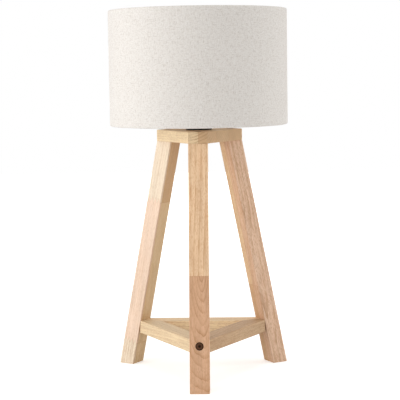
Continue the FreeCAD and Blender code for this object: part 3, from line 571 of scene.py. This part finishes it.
def bronze_material():
    """Dark bronze, paler on the flat face of each head, more so in worn patches: a painted
    highlight together with rubbing.
    """
    fittings = bpy.context.scene.lamp_fittings
    material, tree, shader = new_material("dark_bronze", Metallic=0.5, Specular_IOR_Level=0.12)
    wear = use_wear(tree, 2 * MM, 0.45)
    rubbed = place(tree, "ShaderNodeAttribute", attribute_name="rubbed")["Fac"]
    amount = rubbed * remap(wear["Mask"], 0.0, 1.0, 0.45, 0.8)
    tone = blend(amount, fittings.bronze, fittings.highlit_worn_bronze)
    finish_shader(tree, shader, tone, wear["Height"], 0.02 * MM, roughness=wear["Roughness"])
    return material


def linen_material():
    settings = bpy.context.scene.lamp_shade
    material, tree, shader = new_material("natural_linen", Roughness=0.92,
                                          Specular_IOR_Level=0.15, Sheen_Weight=0.12,
                                          Sheen_Roughness=0.5)
    cloth_place = place(tree, "ShaderNodeUVMap", uv_map="UVMap")["UV"]
    weave = use_group(tree, "Plain weave", {"Vector": cloth_place, "Thread": settings.thread})
    tone = blend(weave["Tone"], settings.linen_light, settings.linen)
    patches = noise(cloth_place, scale=420.0, detail=3.0, roughness=0.8)
    # Darker in random patches, in the low places between threads as painted shade, and in husk
    # flecks
    for amount in (remap(patches, 0.40, 0.68, 0.0, 0.20),
                   remap(weave["Height"], 0.25, 0.75, 0.30, 0.0), weave["Fleck"] * 0.30):
        tone = blend(amount, tone, settings.linen_dark)
    finish_shader(tree, shader, tone, weave["Height"], 0.25 * MM, 0.7)
    return material


def dress(material, *nodes):
    """Give CAD nodes a material in place of their own."""
    for node in nodes:
        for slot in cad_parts[node].material_slots:
            slot.material = material


# -------- meshes

def show(name, mesh, body, slot, *replaced):
    """Put a finished mesh in the scene as a piece that rides on its body."""
    piece = bpy.data.objects.new(name, mesh)
    bpy.context.scene.collection.objects.link(piece)
    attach(piece, body)
    if replaced:
        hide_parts(*replaced)
    return piece


def kept(bm, mesh):
    """Write what was edited into a mesh, and free the edit."""
    bm.to_mesh(mesh)
    bm.free()
    return mesh


def turned(name, rings, steps=96, closed_profile=False):
    """A mesh turned about the Z axis through the origin. Each ring is (radius, height), or
    (half the flats, height, 6) where the ring is a hexagon. A closed profile joins its last
    ring to its first."""
    bm = bmesh.new()
    loops = []
    for ring in rings:
        radius, height = ring[:2]
        if radius == 0:
            loops.append([bm.verts.new((0, 0, height))])
            continue
        loop = []
        for step in range(steps):
            at = TURN * step / steps
            reach = radius
            if len(ring) == 3:
                side = TURN / ring[2]
                reach = radius / math.cos(at % side - side / 2)
            loop.append(bm.verts.new((reach * math.cos(at), reach * math.sin(at), height)))
        loops.append(loop)
    pairs = list(zip(loops, loops[1:]))
    if closed_profile:
        pairs.append((loops[-1], loops[0]))
    for lower, upper in pairs:
        for step in range(steps):
            after = (step + 1) % steps
            corners = []
            for loop, picks in ((lower, (step, after)), (upper, (after, step))):
                corners += [loop[0]] if len(loop) == 1 else [loop[i] for i in picks]
            bm.faces.new(corners)
    bmesh.ops.recalc_face_normals(bm, faces=bm.faces)
    return kept(bm, bpy.data.meshes.new(name))


def sliced(node, low, high, step):
    """A copy of a CAD node's mesh, cut into rows between two heights, for a thread."""
    bm = bmesh.new()
    bm.from_mesh(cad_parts[node].data)
    bmesh.ops.remove_doubles(bm, verts=bm.verts, dist=0.001 * MM)
    bmesh.ops.recalc_face_normals(bm, faces=bm.faces)
    rows = round((high - low) / step)
    for row in range(rows + 1):
        height = low + (high - low) * row / rows
        parts = list(bm.verts) + list(bm.edges) + list(bm.faces)
        bmesh.ops.bisect_plane(bm, geom=parts, dist=0.001 * MM, plane_co=(0, 0, height),
                               plane_no=(0, 0, 1))
    mesh = kept(bm, bpy.data.meshes.new(f"{node}_sliced"))
    for layer in ("custom_normal", "sharp_edge", "sharp_face"):
        if layer in mesh.attributes:
            mesh.attributes.remove(mesh.attributes[layer])
    return mesh


def mark(mesh, name, test):
    """Store 1 at the vertices that pass the test and 0 at the others."""
    layer = mesh.attributes.new(name, "FLOAT", "POINT")
    for vertex in mesh.vertices:
        layer.data[vertex.index].value = float(test(vertex.co))
    return mesh


def smooth(mesh, sharp_degrees=40.0):
    """Shade a mesh smoothly, with its edges past the angle kept sharp."""
    bm = bmesh.new()
    bm.from_mesh(mesh)
    for face in bm.faces:
        face.smooth = True
    for edge in bm.edges:
        if len(edge.link_faces) == 2:
            edge.smooth = edge.calc_face_angle() < math.radians(sharp_degrees)
    return kept(bm, mesh)


def grown(name, tree_name, inputs, base=None, modifiers=()):
    """Run a geometry tree on a mesh, with its inputs by name, and keep the plain result."""
    carrier = bpy.data.objects.new(name, base or bpy.data.meshes.new(name))
    bpy.context.scene.collection.objects.link(carrier)
    modifier = carrier.modifiers.new(name, "NODES")
    modifier.node_group = shared_group(tree_name)
    for item in modifier.node_group.interface.items_tree:
        if item.item_type == "SOCKET" and item.in_out == "INPUT" and item.name in inputs:
            modifier[item.identifier] = inputs[item.name]
    for kind, settings in modifiers:
        extra = carrier.modifiers.new(kind.title(), kind)
        for key, setting in settings.items():
            setattr(extra, key, setting)
    graph = bpy.context.evaluated_depsgraph_get()
    mesh = bpy.data.meshes.new_from_object(
        carrier.evaluated_get(graph), preserve_all_data_layers=True, depsgraph=graph)
    bpy.data.objects.remove(carrier)
    mesh.name = name
    if not mesh.polygons:
        raise RuntimeError(f"{name} came out of its tree with no faces")
    return mesh


# -------- geometry trees

def geometry_tree(name, inputs):
    """A geometry tree with these inputs, an axis and a material."""
    return new_tree("GeometryNodeTree", name, [
        *inputs, ("Axis", VECTOR, (0.0, 0.0, 0.0)), ("Material", "NodeSocketMaterial", None),
    ], [("Geometry", GEOMETRY)])


def end_tree(geometry, given, result):
    """End a geometry tree with real geometry in the given material."""
    tree = result.id_data
    real = place(tree, "GeometryNodeRealizeInstances", {"Geometry": geometry})
    painted = place(tree, "GeometryNodeSetMaterial", {
        "Geometry": real[0], "Material": given["Material"]})
    feed(result, {"Geometry": painted[0]})
    return tree


def around_axis_tree():
    """Copies of a mesh at equal turns about an upright axis."""
    tree, given, result = geometry_tree("Copies around the axis", [
        ("Geometry", GEOMETRY, None), ("Count", INTEGER, 3)])
    points = place(tree, "GeometryNodePoints", {
        "Count": given["Count"], "Position": given["Axis"]})
    moved = place(tree, "GeometryNodeTransform", {
        "Geometry": given["Geometry"], "Translation": scaled(given["Axis"], -1.0)})
    number = place(tree, "GeometryNodeInputIndex")["Index"]
    copies = place(tree, "GeometryNodeInstanceOnPoints", {
        "Points": points[0], "Instance": moved[0],
        "Rotation": combine(0.0, 0.0, number * (TURN / given["Count"]))})
    return end_tree(copies[0], given, result)


def screw_thread_tree():
    """Press a helical thread into the points of a mesh that lie at one radius, with the
    grooves going in by the depth, or out where the depth is negative."""
    tree, given, result = geometry_tree("Screw thread", [
        ("Geometry", GEOMETRY, None), ("Low", FLOAT, 0.0), ("High", FLOAT, 1.0),
        ("Pitch", FLOAT, 1 * MM), ("Depth", FLOAT, 0.3 * MM), ("Radius", FLOAT, 5 * MM),
        ("Wall", FLOAT, 0.05 * MM)])
    part = separate(place(tree, "GeometryNodeInputPosition")[0] - given["Axis"])
    flat = combine(part["X"], part["Y"])
    reach = calculate_point("LENGTH", flat, output="Value")
    turn = calculate("ARCTAN2", part["Y"], part["X"]) / TURN
    wave = calculate("COSINE", (part["Z"] / given["Pitch"] - turn) * TURN)
    groove = calculate("MULTIPLY_ADD", wave, -0.5, 0.5)
    start = remap(part["Z"], given["Low"], given["Low"] + given["Pitch"], smooth=True)
    end = remap(part["Z"], given["High"] - given["Pitch"], given["High"], 1.0, 0.0,
                smooth=True)
    depth = groove * given["Depth"] * (start * end)
    chosen = calculate("LESS_THAN", abs(reach - given["Radius"]), given["Wall"])
    inward = scaled(calculate_point("NORMALIZE", flat), depth * -1.0)
    moved = place(tree, "GeometryNodeSetPosition", {
        "Geometry": given["Geometry"], "Selection": chosen, "Offset": inward})
    return end_tree(moved[0], given, result)


def arm_slots(given, across, up, hem_from):
    """1 in the slots that the lower hem has for the three arms, at a half turn and a sixth
    to each side, and 0 elsewhere."""
    half_third = given["Columns"] / 3.0 * 0.5
    nearest = calculate("PINGPONG", across + 0.5 - half_third, half_third)
    near_arm = calculate("LESS_THAN", nearest, given["Notch Columns"] * 0.5)
    inside = calculate("LESS_THAN", up, (hem_from + given["Fold Rows"] * 0.7) * -1.0)
    return calculate("GREATER_THAN", near_arm * inside, 0.5)


def drum_tree():
    """Cloth wound once around the axis with a lap, and folded over a wire at both rims. Its
    rows run from inside the lower hem, round the lower wire, up the outside and down inside
    the upper hem."""
    tree, given, result = geometry_tree("Linen drum", [
        ("Middle", FLOAT, 0.486), ("Wire Reach", FLOAT, 0.1375), ("Fold", FLOAT, 2.15 * MM),
        ("Straight", FLOAT, 0.0875), ("Flap", FLOAT, 6 * MM), ("Lap", FLOAT, 10 * MM),
        ("Lap Rise", FLOAT, 0.6 * MM), ("Columns", INTEGER, 720),
        ("Straight Rows", INTEGER, 12), ("Fold Rows", INTEGER, 8),
        ("Flap Rows", INTEGER, 3), ("Notch Columns", FLOAT, 3.0)])
    column = TURN / given["Columns"]
    lap_columns = calculate("CEIL", given["Lap"] / (column * given["Wire Reach"]))
    all_columns = given["Columns"] + lap_columns
    fold_from = given["Straight Rows"]
    fold_to = fold_from + given["Fold Rows"]
    half_rows = fold_to + given["Flap Rows"]
    all_rows = half_rows * 2.0
    grid = place(tree, "GeometryNodeMeshGrid", {
        "Size X": all_columns, "Size Y": all_rows,
        "Vertices X": all_columns + 1.0, "Vertices Y": all_rows + 1.0})
    here = separate(place(tree, "GeometryNodeInputPosition")[0])

    # The column number counts from one end of the cloth, half a column past the back
    across = here["X"] + all_columns * 0.5
    turn = (across + 0.5) * column
    row = abs(here["Y"])
    side = calculate("SIGN", here["Y"])
    climbed = given["Straight"] * remap(row, 0.0, fold_from)
    bend = remap(row, fold_from, fold_to, 0.0, math.pi)
    turned_down = given["Flap"] * remap(row, fold_to, half_rows)

    # The far end of the cloth lies over the near end
    lap_share = remap(across, given["Columns"] - 6.0, given["Columns"], smooth=True)
    fold = calculate("MULTIPLY_ADD", lap_share, given["Lap Rise"], given["Fold"])
    ripple = (noise(combine(turn * 1.6, here["Y"] * 0.05), 1.0, 1.0) - 0.5) * (0.5 * MM)
    ripple = ripple * remap(row, 0.0, fold_from, 1.0, 0.0)
    reach = calculate("MULTIPLY_ADD", fold, calculate("COSINE", bend),
                      given["Wire Reach"] + ripple)
    rise = calculate("MULTIPLY_ADD", fold, calculate("SINE", bend), climbed - turned_down)
    height = calculate("MULTIPLY_ADD", rise, side, given["Middle"])
    # A turn of zero is the back, where the two ends meet
    wound_place = combine(reach * calculate("SINE", turn), reach * calculate("COSINE", turn),
                          height) + given["Axis"]
    cloth_place = combine(turn * given["Wire Reach"],
                          side * (climbed + turned_down + bend * given["Fold"]))
    mapped = place(tree, "GeometryNodeStoreNamedAttribute", {
        "Geometry": grid["Mesh"], "Name": "UVMap", "Value": cloth_place,
    }, data_type="FLOAT2", domain="CORNER")
    cut = place(tree, "GeometryNodeDeleteGeometry", {
        "Geometry": mapped[0], "Selection": arm_slots(given, across, here["Y"], fold_from),
    }, domain="FACE")
    wound = place(tree, "GeometryNodeSetPosition", {
        "Geometry": cut[0], "Position": wound_place})
    soft = place(tree, "GeometryNodeSetShadeSmooth", {"Geometry": wound[0]})
    return end_tree(soft[0], given, result)


GROUP_MAKERS = {
    "Wood grain": wood_grain_group,
    "Plain weave": weave_group,
    "Handling wear": wear_group,
    "Copies around the axis": around_axis_tree,
    "Screw thread": screw_thread_tree,
    "Linen drum": drum_tree,
}


def show_threaded(node, body, slot, material, heights, pitch, depth, radius,
                  wall=0.05 * MM, base=None):
    """Replace a CAD node by its own shape, or by a base, with a thread between two
    heights."""
    low, high = heights
    mesh = grown(f"{node}_made", "Screw thread", {
        "Axis": AXIS, "Low": low, "High": high, "Pitch": pitch, "Depth": depth,
        "Radius": radius, "Wall": wall, "Material": material,
    }, base=base or sliced(node, low, high, pitch / 6))
    return show(f"{node}_threaded", smooth(mesh), body, slot, node)


def three_around(name, mesh, material):
    """Three copies of a mesh about the lamp's axis, as one mesh."""
    return grown(name, "Copies around the axis", {
        "Axis": AXIS, "Count": 3, "Material": material}, base=mesh)


# -------- operators: wooden stand

def turned_frame(azimuth, inner):
    """The matrix inner, turned about the lamp's axis."""
    about = Matrix.Translation(AXIS) @ Matrix.Rotation(azimuth, 4, "Z")
    return about @ inner


class LAMP_OT_legs(bpy.types.Operator):
    """Finish the three legs, each glued from staves and boards with the grain along it"""

    bl_idname = "lamp.legs"
    bl_label = "Legs"

    def execute(self, context):
        settings = context.scene.lamp_wood
        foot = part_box("front_leg")[0].y - AXIS.y + LEG_GRAIN_INSET
        lean = Matrix.Translation((0, foot, 0)) @ Matrix.Rotation(-settings.splay, 4, "X")
        top = settings.leg_height
        split = {"board_width": settings.leg_board, "board_start": 0.0}
        edge = {"board_width": 30 * MM, "board_start": -0.37}
        # Each leg's first dict gives its painted shade on the faces that look across its
        # boards, and its streak colour
        legs = {
            "front": ({"flat_sawn": 0.38}, (
                (0.171, ("rose", "rose"), dict(
                    seed=2.0, pith=(0.003, -0.050, 0.0), drift=(0.0, 0.20, 0.0),
                    ring_spacing=3.4 * MM, ring_strength=0.7, brightness=0.98)),
                (top, ("peach", "peach"), dict(
                    seed=3.0, pith=(0.050, 0.020, 0.0), drift=(0.03, 0.0, 0.0),
                    ring_spacing=6.0 * MM, ring_strength=0.7, brightness=1.18)))),
            "left": ({"flat_sawn": 0.26, "streak": "honey"}, (
                (0.037, ("cream", "straw"), dict(
                    seed=4.0, figure=0.7, brightness=0.88, **edge)),
                (0.277, ("blush", "straw"), dict(
                    seed=5.0, pith=(0.012, 0.060, 0.0), drift=(0.01, 0.01, 0.0),
                    ring_strength=0.2, figure=0.5, brightness=0.94, **edge)),
                (top, ("cream", "tan"), dict(
                    seed=6.0, pith=(0.02, 0.070, 0.0), drift=(0.01, 0.01, 0.0),
                    ring_strength=0.15, figure=0.45, brightness=0.93, **edge)))),
            "right": ({"flat_sawn": 0.38}, (
                (0.135, ("tan", "pink"), dict(
                    seed=9.0, pith=(-0.050, 0.030, 0.0), drift=(0.02, -0.02, 0.0),
                    figure=1.3, brightness=1.0, **split)),
                (top, ("straw", "pink"), dict(
                    seed=10.0, pith=(-0.040, 0.030, 0.0), drift=(0.02, -0.02, 0.0),
                    figure=1.3, brightness=0.98, **split)))),
        }
        for side, (look, staves) in legs.items():
            grain = turned_frame(LEG_AZIMUTHS[side], lean)
            dress(wood_material(f"{side}_leg_wood", grain, *staves, **look), f"{side}_leg")
        return {"FINISHED"}


class LAMP_OT_top_plate(bpy.types.Operator):
    """Finish the plate, glued from boards whose grain runs along its left side"""

    bl_idname = "lamp.top_plate"
    bl_label = "Top plate"

    def execute(self, context):
        settings = context.scene.lamp_wood
        plate_middle = Matrix.Translation((0, 0, middle("top_plate").z))
        along = Matrix.Rotation(TURN / 4, 4, "X")
        stave = (1.0, ("straw", "tan"), dict(
            seed=27.0, ring_strength=0.3, figure=0.6, board_width=settings.plate_board,
            board_start=0.0, pith=(-0.05, 0.05, 0.0), drift=(0.02, 0.01, 0.0)))
        grain = turned_frame(TURN / 12, plate_middle @ along)
        # The plate's faces that look across its boards get painted shade
        dress(wood_material("plate_wood", grain, stave, flat_sawn=0.38), "top_plate")
        return {"FINISHED"}


class LAMP_OT_tray(bpy.types.Operator):
    """Finish the tray's three bars, with the grain along each bar"""

    bl_idname = "lamp.tray"
    bl_label = "Tray"

    def execute(self, context):
        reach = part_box("tray_back_bar")[1].y - AXIS.y - BAR_GRAIN_INSET
        bar = Matrix.Translation((0, reach, middle("tray_back_bar").z))
        along = Matrix.Rotation(TURN / 4, 4, "Y")
        looks = {"back": (21.0, "straw", 1.03, 0.8), "right": (25.0, "tan", 0.74, 1.2),
                 "left": (33.0, "straw", 0.88, 0.6)}
        for side, (seed, tone, brightness, figure) in looks.items():
            stave = (1.0, (tone, tone), dict(
                seed=seed, brightness=brightness, figure=figure, ring_strength=0.3,
                pith=(0.05, 0.04, 0.0), drift=(0.04, 0.03, 0.0)))
            grain = turned_frame(BAR_AZIMUTHS[side], bar @ along)
            dress(wood_material(f"tray_{side}_wood", grain, stave), f"tray_{side}_bar")
        return {"FINISHED"}


class LAMP_OT_dowels(bpy.types.Operator):
    """Finish the beech dowels that sit inside the joints"""

    bl_idname = "lamp.dowels"
    bl_label = "Dowels"

    def execute(self, context):
        beech = wood_material("dowel_beech", Matrix.Identity(4),
                              (1.0, ("tan", "pink"), {"seed": 41.0}))
        dress(beech, "leg_dowels", "tray_dowels")
        return {"FINISHED"}


# -------- operators: bolts

def bolt_mesh(name, head_radius, shank_radius, bolt_length):
    """A flat-headed bolt, its head's face at z = 0 and its shank along -Z."""
    head = BOLT_HEAD_HEIGHT
    edge = head / 5
    apothem = BOLT_SOCKET_FLATS / 2
    made = turned(name, [
        (0, -head),
        (apothem * 0.7, -head, 6),
        (apothem, -head * 0.92, 6),
        (apothem, -edge, 6),
        (apothem + edge, 0),
        (head_radius - 2.8 * edge, 0),
        (head_radius - 2.2 * edge, -edge * 0.15),
        (head_radius - 0.5 * edge, -edge * 1.2),
        (head_radius - 0.1 * edge, -edge * 1.7),
        (head_radius, -2.4 * edge),
        (head_radius, -head),
        (shank_radius, -head),
        (shank_radius, -bolt_length + shank_radius / 2),
        (shank_radius / 2, -bolt_length),
        (0, -bolt_length),
    ], steps=72)
    # The flat face of the head is marked for the painted highlight and rubbing that the bronze
    # shows there
    return smooth(mark(made, "rubbed", lambda spot: spot.z > -edge / 10))


class LAMP_OT_bolts(bpy.types.Operator):
    """Make the six dark bronze bolts and finish the inserts that they screw into"""

    bl_idname = "lamp.bolts"
    bl_label = "Bolts and inserts"

    def execute(self, context):
        splay = context.scene.lamp_wood.splay
        bronze = bronze_material()
        dress(finish("zinc_plate"), "leg_inserts", "tray_inserts")
        outwards = {
            "tray_bolts": Vector((0, -math.cos(splay), math.sin(splay))),
            "leg_bolts": Vector((0, 0, 1)),
        }
        for node, outward in outwards.items():
            mesh = self.front_bolt(node, outward)
            three = three_around(f"{node}_made", mesh, bronze)
            show(f"{node}_turned", three, "stand", "bronze", node)
        return {"FINISHED"}

    def front_bolt(self, node, outward):
        """The bolt at the front leg, with the place and sizes read from the CAD node."""
        corners = [v.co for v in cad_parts[node].data.vertices]
        front = [c for c in corners if c.y < AXIS.y and abs(c.x) < 10 * MM]
        along = [c.dot(outward) for c in front]
        face = max(along)
        bolt_length = face - min(along)
        on_face = [c for c, a in zip(front, along) if face - a < 0.01 * MM]
        centre = sum(on_face, Vector()) / len(on_face)
        reaches = [((c - centre) - outward * (c - centre).dot(outward)).length for c in front]
        shank_radius = min(r for r, a in zip(reaches, along) if face - a > bolt_length / 2)
        mesh = bolt_mesh(f"{node}_front", max(reaches), shank_radius, bolt_length)
        turn = outward.to_track_quat("Z", "Y").to_matrix().to_4x4()
        mesh.transform(Matrix.Translation(centre) @ turn)
        return mesh


# -------- operators: cable entry, holder

class LAMP_OT_cable_entry(bpy.types.Operator):
    """Finish the threaded tube through the plate, with its washer and nut"""

    bl_idname = "lamp.cable_entry"
    bl_label = "Cable entry"

    def execute(self, context):
        steel = finish("zinc_fittings")
        dress(steel, "nipple_washer", "nipple_nut")
        low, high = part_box("threaded_nipple")
        outside = (high.x - low.x) / 2
        tall = high.z - low.z
        rows = round(tall * 6 / TUBE_PITCH)
        rings = [(outside, low.z + tall * row / rows) for row in range(rows + 1)]
        rings += [(outside - TUBE_WALL, high.z), (outside - TUBE_WALL, low.z)]
        tube = turned("nipple_tube", rings, steps=48, closed_profile=True)
        tube.transform(Matrix.Translation(AXIS))
        show_threaded("threaded_nipple", "stand", "zinc", steel, (low.z, high.z), TUBE_PITCH,
                      0.35 * MM, outside, base=tube)
        return {"FINISHED"}


class LAMP_OT_lamp_holder(bpy.types.Operator):
    """Finish the black lamp holder and its live parts"""

    bl_idname = "lamp.holder"
    bl_label = "Lamp holder"

    def execute(self, context):
        black, brass = finish("moulded_black"), finish("sheet_brass")
        dress(black, "holder_cap")
        dress(finish("white_insulator"), "contact_block")
        dress(brass, "terminal_screws", "centre_contact")
        skirt_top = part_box("holder_skirt")[1].z
        ring_low, ring_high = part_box("shade_ring")
        show_threaded("holder_skirt", "stand", "black_plastic", black,
                      (ring_low.z - 1 * MM, skirt_top), HOLDER_PITCH, 0.7 * MM,
                      HOLDER_THREAD_RADIUS)
        show_threaded("shade_ring", "retaining_ring", "black_plastic", black,
                      (ring_low.z, ring_high.z), HOLDER_PITCH, -0.7 * MM, RING_THREAD_RADIUS)
        low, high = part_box("screw_shell")
        show_threaded("screw_shell", "stand", "brass", brass, (low.z + 4 * MM, high.z),
                      BULB_PITCH, -0.8 * MM, (high.x - low.x) / 2 - SHEET_INSET, 0.3 * MM)
        return {"FINISHED"}


class LAMP_OT_bulb(bpy.types.Operator):
    """Finish the screw-in bulb"""

    bl_idname = "lamp.bulb"
    bl_label = "Bulb"

    def execute(self, context):
        nickel = finish("nickel_cap")
        dress(nickel, "bulb_contact")
        low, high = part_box("bulb_cap")
        show_threaded("bulb_cap", "bulb", "bulb_metal", nickel,
                      (low.z + 2.6 * MM, high.z - 2 * MM), BULB_PITCH, 0.9 * MM,
                      (high.x - low.x) / 2 - SHEET_INSET, 0.3 * MM)
        dress(finish("black_insulator"), "bulb_insulator")
        dress(finish("bulb_housing_white"), "bulb_housing")
        dress(finish("opal_dome"), "bulb_dome")
        dress(finish("led_board"), "bulb_led_board")
        return {"FINISHED"}


# -------- operators: shade

class LAMP_OT_shade_frame(bpy.types.Operator):
    """Finish the shade's wires and its stiff lining"""

    bl_idname = "lamp.shade_frame"
    bl_label = "Shade frame and lining"

    def execute(self, context):
        coat = finish("wire_coating")
        dress(coat, "shade_bottom_ring", "shade_top_ring", "shade_fitter_ring", "shade_arms")
        dress(finish("lining_film"), "shade_liner")
        # Each arm is welded to the lower wire and to the ring on the holder
        beads = ((WIRE_REACH - 1.2 * MM, middle("shade_bottom_ring").z, 1.7 * MM),
                 (29.6 * MM, middle("shade_fitter_ring").z, 2 * MM))
        bm = bmesh.new()
        for reach, height, radius in beads:
            spot = AXIS + Vector((0, -reach, height))
            bmesh.ops.create_uvsphere(bm, u_segments=20, v_segments=12, radius=radius,
                                      matrix=Matrix.Translation(spot))
        pair = kept(bm, bpy.data.meshes.new("weld_bead"))
        welds = three_around("weld_beads_made", pair, coat)
        show("weld_beads", smooth(welds), "shade", "white_wire")
        return {"FINISHED"}


class LAMP_OT_linen_drum(bpy.types.Operator):
    """Make the linen drum, folded over both wires, with its lap at the back"""

    bl_idname = "lamp.linen_drum"
    bl_label = "Linen drum"

    def execute(self, context):
        settings = context.scene.lamp_shade
        fold = SHADE_RADIUS - WIRE_REACH - settings.cloth / 2
        straight = (SHADE_HIGH - SHADE_LOW) / 2 - fold - settings.cloth / 2
        mesh = grown("linen_drum", "Linen drum", {
            "Axis": AXIS, "Middle": (SHADE_LOW + SHADE_HIGH) / 2, "Wire Reach": WIRE_REACH,
            "Fold": fold, "Straight": straight, "Flap": settings.flap, "Lap": settings.lap,
            "Lap Rise": 1.2 * settings.cloth, "Columns": settings.columns,
            "Material": linen_material(),
        }, modifiers=[("SOLIDIFY", {"thickness": settings.cloth, "offset": 0.0})])
        drum = show("linen_drum", mesh, "shade", "linen", "shade_fabric")
        tall = 2 * (straight + math.pi * fold + settings.flap)
        return {"FINISHED"}


# -------- operator: stage

WHITE = (1.0, 1.0, 1.0)
FLOOR_HALF = 4.0
# Where the floor starts to brighten, and where it is pure white, from the lamp's axis
GLOW_FROM, GLOW_TO = 0.4, 1.6
# Soft round lights: azimuth, 0 in front of the lamp and 90 to its right, height angle, width
LIGHTS = {"key": (-62.0, 4.0, 1.4), "rim": (90.0, 4.0, 1.4), "top": (0.0, 89.0, 0.9)}
LIGHT_DISTANCE = 1.9
LIGHTS_AIM = AXIS + Vector((0, 0, 0.35))


def direction(azimuth, elevation=0.0):
    """The direction from the lamp to a place around it, with 0 in front of the lamp."""
    flat = math.cos(elevation)
    return Vector((math.sin(azimuth) * flat, -math.cos(azimuth) * flat, math.sin(elevation)))


def add_object(name, data):
    thing = bpy.data.objects.new(name, data)
    bpy.context.scene.collection.objects.link(thing)
    return thing


def seen_directly(tree):
    """1 for what the camera, a reflection or clear material sees, and 0 for light."""
    path = place(tree, "ShaderNodeLightPath")
    seen = calculate("MAXIMUM", path["Is Camera Ray"], path["Is Glossy Ray"])
    return calculate("MAXIMUM", seen, path["Is Transmission Ray"])


class LAMP_OT_stage(bpy.types.Operator):
    """Set the pale floor, the soft lights and the camera"""

    bl_idname = "lamp.stage"
    bl_label = "Stage"

    def execute(self, context):
        stage = context.scene.lamp_stage
        self.set_camera(context.scene, stage)
        self.set_floor(stage)
        self.set_world(context.scene, stage)
        for name, placing in LIGHTS.items():
            self.add_light(name, getattr(stage, f"{name}_power"), *placing)
        context.scene.view_settings.view_transform = "Standard"
        return {"FINISHED"}

    def set_camera(self, scene, stage):
        data = bpy.data.cameras.new("camera")
        data.lens = stage.lens
        data.sensor_width = 36.0
        data.clip_end = 50.0
        camera = add_object("camera", data)
        out = direction(stage.camera_azimuth)
        forward = (-out * math.cos(stage.camera_pitch)
                   - Vector((0, 0, math.sin(stage.camera_pitch))))
        right = forward.cross(Vector((0, 0, 1))).normalized()
        right.rotate(Matrix.Rotation(stage.camera_roll, 3, -forward))
        up = right.cross(forward)
        turn = Matrix((right, up, -forward)).transposed().to_4x4()
        spot = AXIS + out * stage.camera_distance + Vector((0, 0, stage.camera_height))
        camera.matrix_world = Matrix.Translation(spot) @ turn
        scene.camera = camera

    def set_floor(self, stage):
        half = FLOOR_HALF
        mesh = bpy.data.meshes.new("floor")
        mesh.from_pydata([(-half, -half, 0), (half, -half, 0), (half, half, 0),
                          (-half, half, 0)], [], [(0, 1, 2, 3)])
        floor = add_object("floor", mesh)
        material, tree, shader = new_material("pale_floor", Roughness=0.9,
                                              Specular_IOR_Level=0.0)
        far = calculate_point("LENGTH", place(tree, "ShaderNodeTexCoord")["Object"],
                              output="Value")
        glow = remap(far, GLOW_FROM, GLOW_TO, stage.floor_lift, 1.0, smooth=True)
        feed(shader, {"Base Color": stage.floor, "Emission Color": WHITE,
                      "Emission Strength": seen_directly(tree) * glow})
        # Seen from below, the floor isn't there
        under = place(tree, "ShaderNodeNewGeometry")["Backfacing"]
        clear = place(tree, "ShaderNodeBsdfTransparent")[0]
        both = place(tree, "ShaderNodeMixShader", {0: under, 1: Outputs(shader)[0], 2: clear})
        feed(tree.nodes["Material Output"], {"Surface": both[0]})
        mesh.materials.append(material)

    def set_world(self, scene, stage):
        world = bpy.data.worlds.new("studio")
        scene.world = world
        world.use_nodes = True
        tree = world.node_tree
        strength = calculate("MULTIPLY_ADD", seen_directly(tree), 1.0 - stage.sky, stage.sky)
        feed(tree.nodes["Background"], {"Color": WHITE, "Strength": strength})

    def add_light(self, name, watts, azimuth, elevation, width):
        data = bpy.data.lights.new(name, "AREA")
        data.shape = "DISK"
        data.size = width
        data.energy = watts
        light = add_object(name, data)
        out = direction(math.radians(azimuth), math.radians(elevation))
        light.location = LIGHTS_AIM + out * LIGHT_DISTANCE
        light.rotation_euler = (-out).to_track_quat("-Z", "Y").to_euler()


# -------- panel and registration

OPERATORS = (
    LAMP_OT_stage, LAMP_OT_legs, LAMP_OT_top_plate, LAMP_OT_tray, LAMP_OT_dowels,
    LAMP_OT_bolts, LAMP_OT_cable_entry, LAMP_OT_lamp_holder, LAMP_OT_bulb,
    LAMP_OT_shade_frame, LAMP_OT_linen_drum,
)
SETTINGS = {
    "lamp_wood": WoodSettings,
    "lamp_shade": ShadeSettings,
    "lamp_fittings": FittingSettings,
    "lamp_stage": StageSettings,
}


class LAMP_PT_sidebar(bpy.types.Panel):
    """Settings and steps of the lamp"""

    bl_label = "Tripod table lamp"
    bl_idname = "LAMP_PT_sidebar"
    bl_space_type = "VIEW_3D"
    bl_region_type = "UI"
    bl_category = "Lamp"

    def draw(self, context):
        for key, group in SETTINGS.items():
            box = self.layout.box()
            for name in group.__annotations__:
                box.prop(getattr(context.scene, key), name)
        for operator in OPERATORS:
            self.layout.operator(operator.bl_idname)


def register():
    for group in SETTINGS.values():
        bpy.utils.register_class(group)
    for key, group in SETTINGS.items():
        setattr(bpy.types.Scene, key, PointerProperty(type=group))
    for operator in OPERATORS:
        bpy.utils.register_class(operator)
    bpy.utils.register_class(LAMP_PT_sidebar)


def unregister():
    bpy.utils.unregister_class(LAMP_PT_sidebar)
    for operator in reversed(OPERATORS):
        bpy.utils.unregister_class(operator)
    for key in SETTINGS:
        delattr(bpy.types.Scene, key)
    for group in reversed(SETTINGS.values()):
        bpy.utils.unregister_class(group)


def main():
    register()
    for operator in OPERATORS:
        group, name = operator.bl_idname.split(".")
        getattr(getattr(bpy.ops, group), name)()


if __name__ == "__main__":
    main()
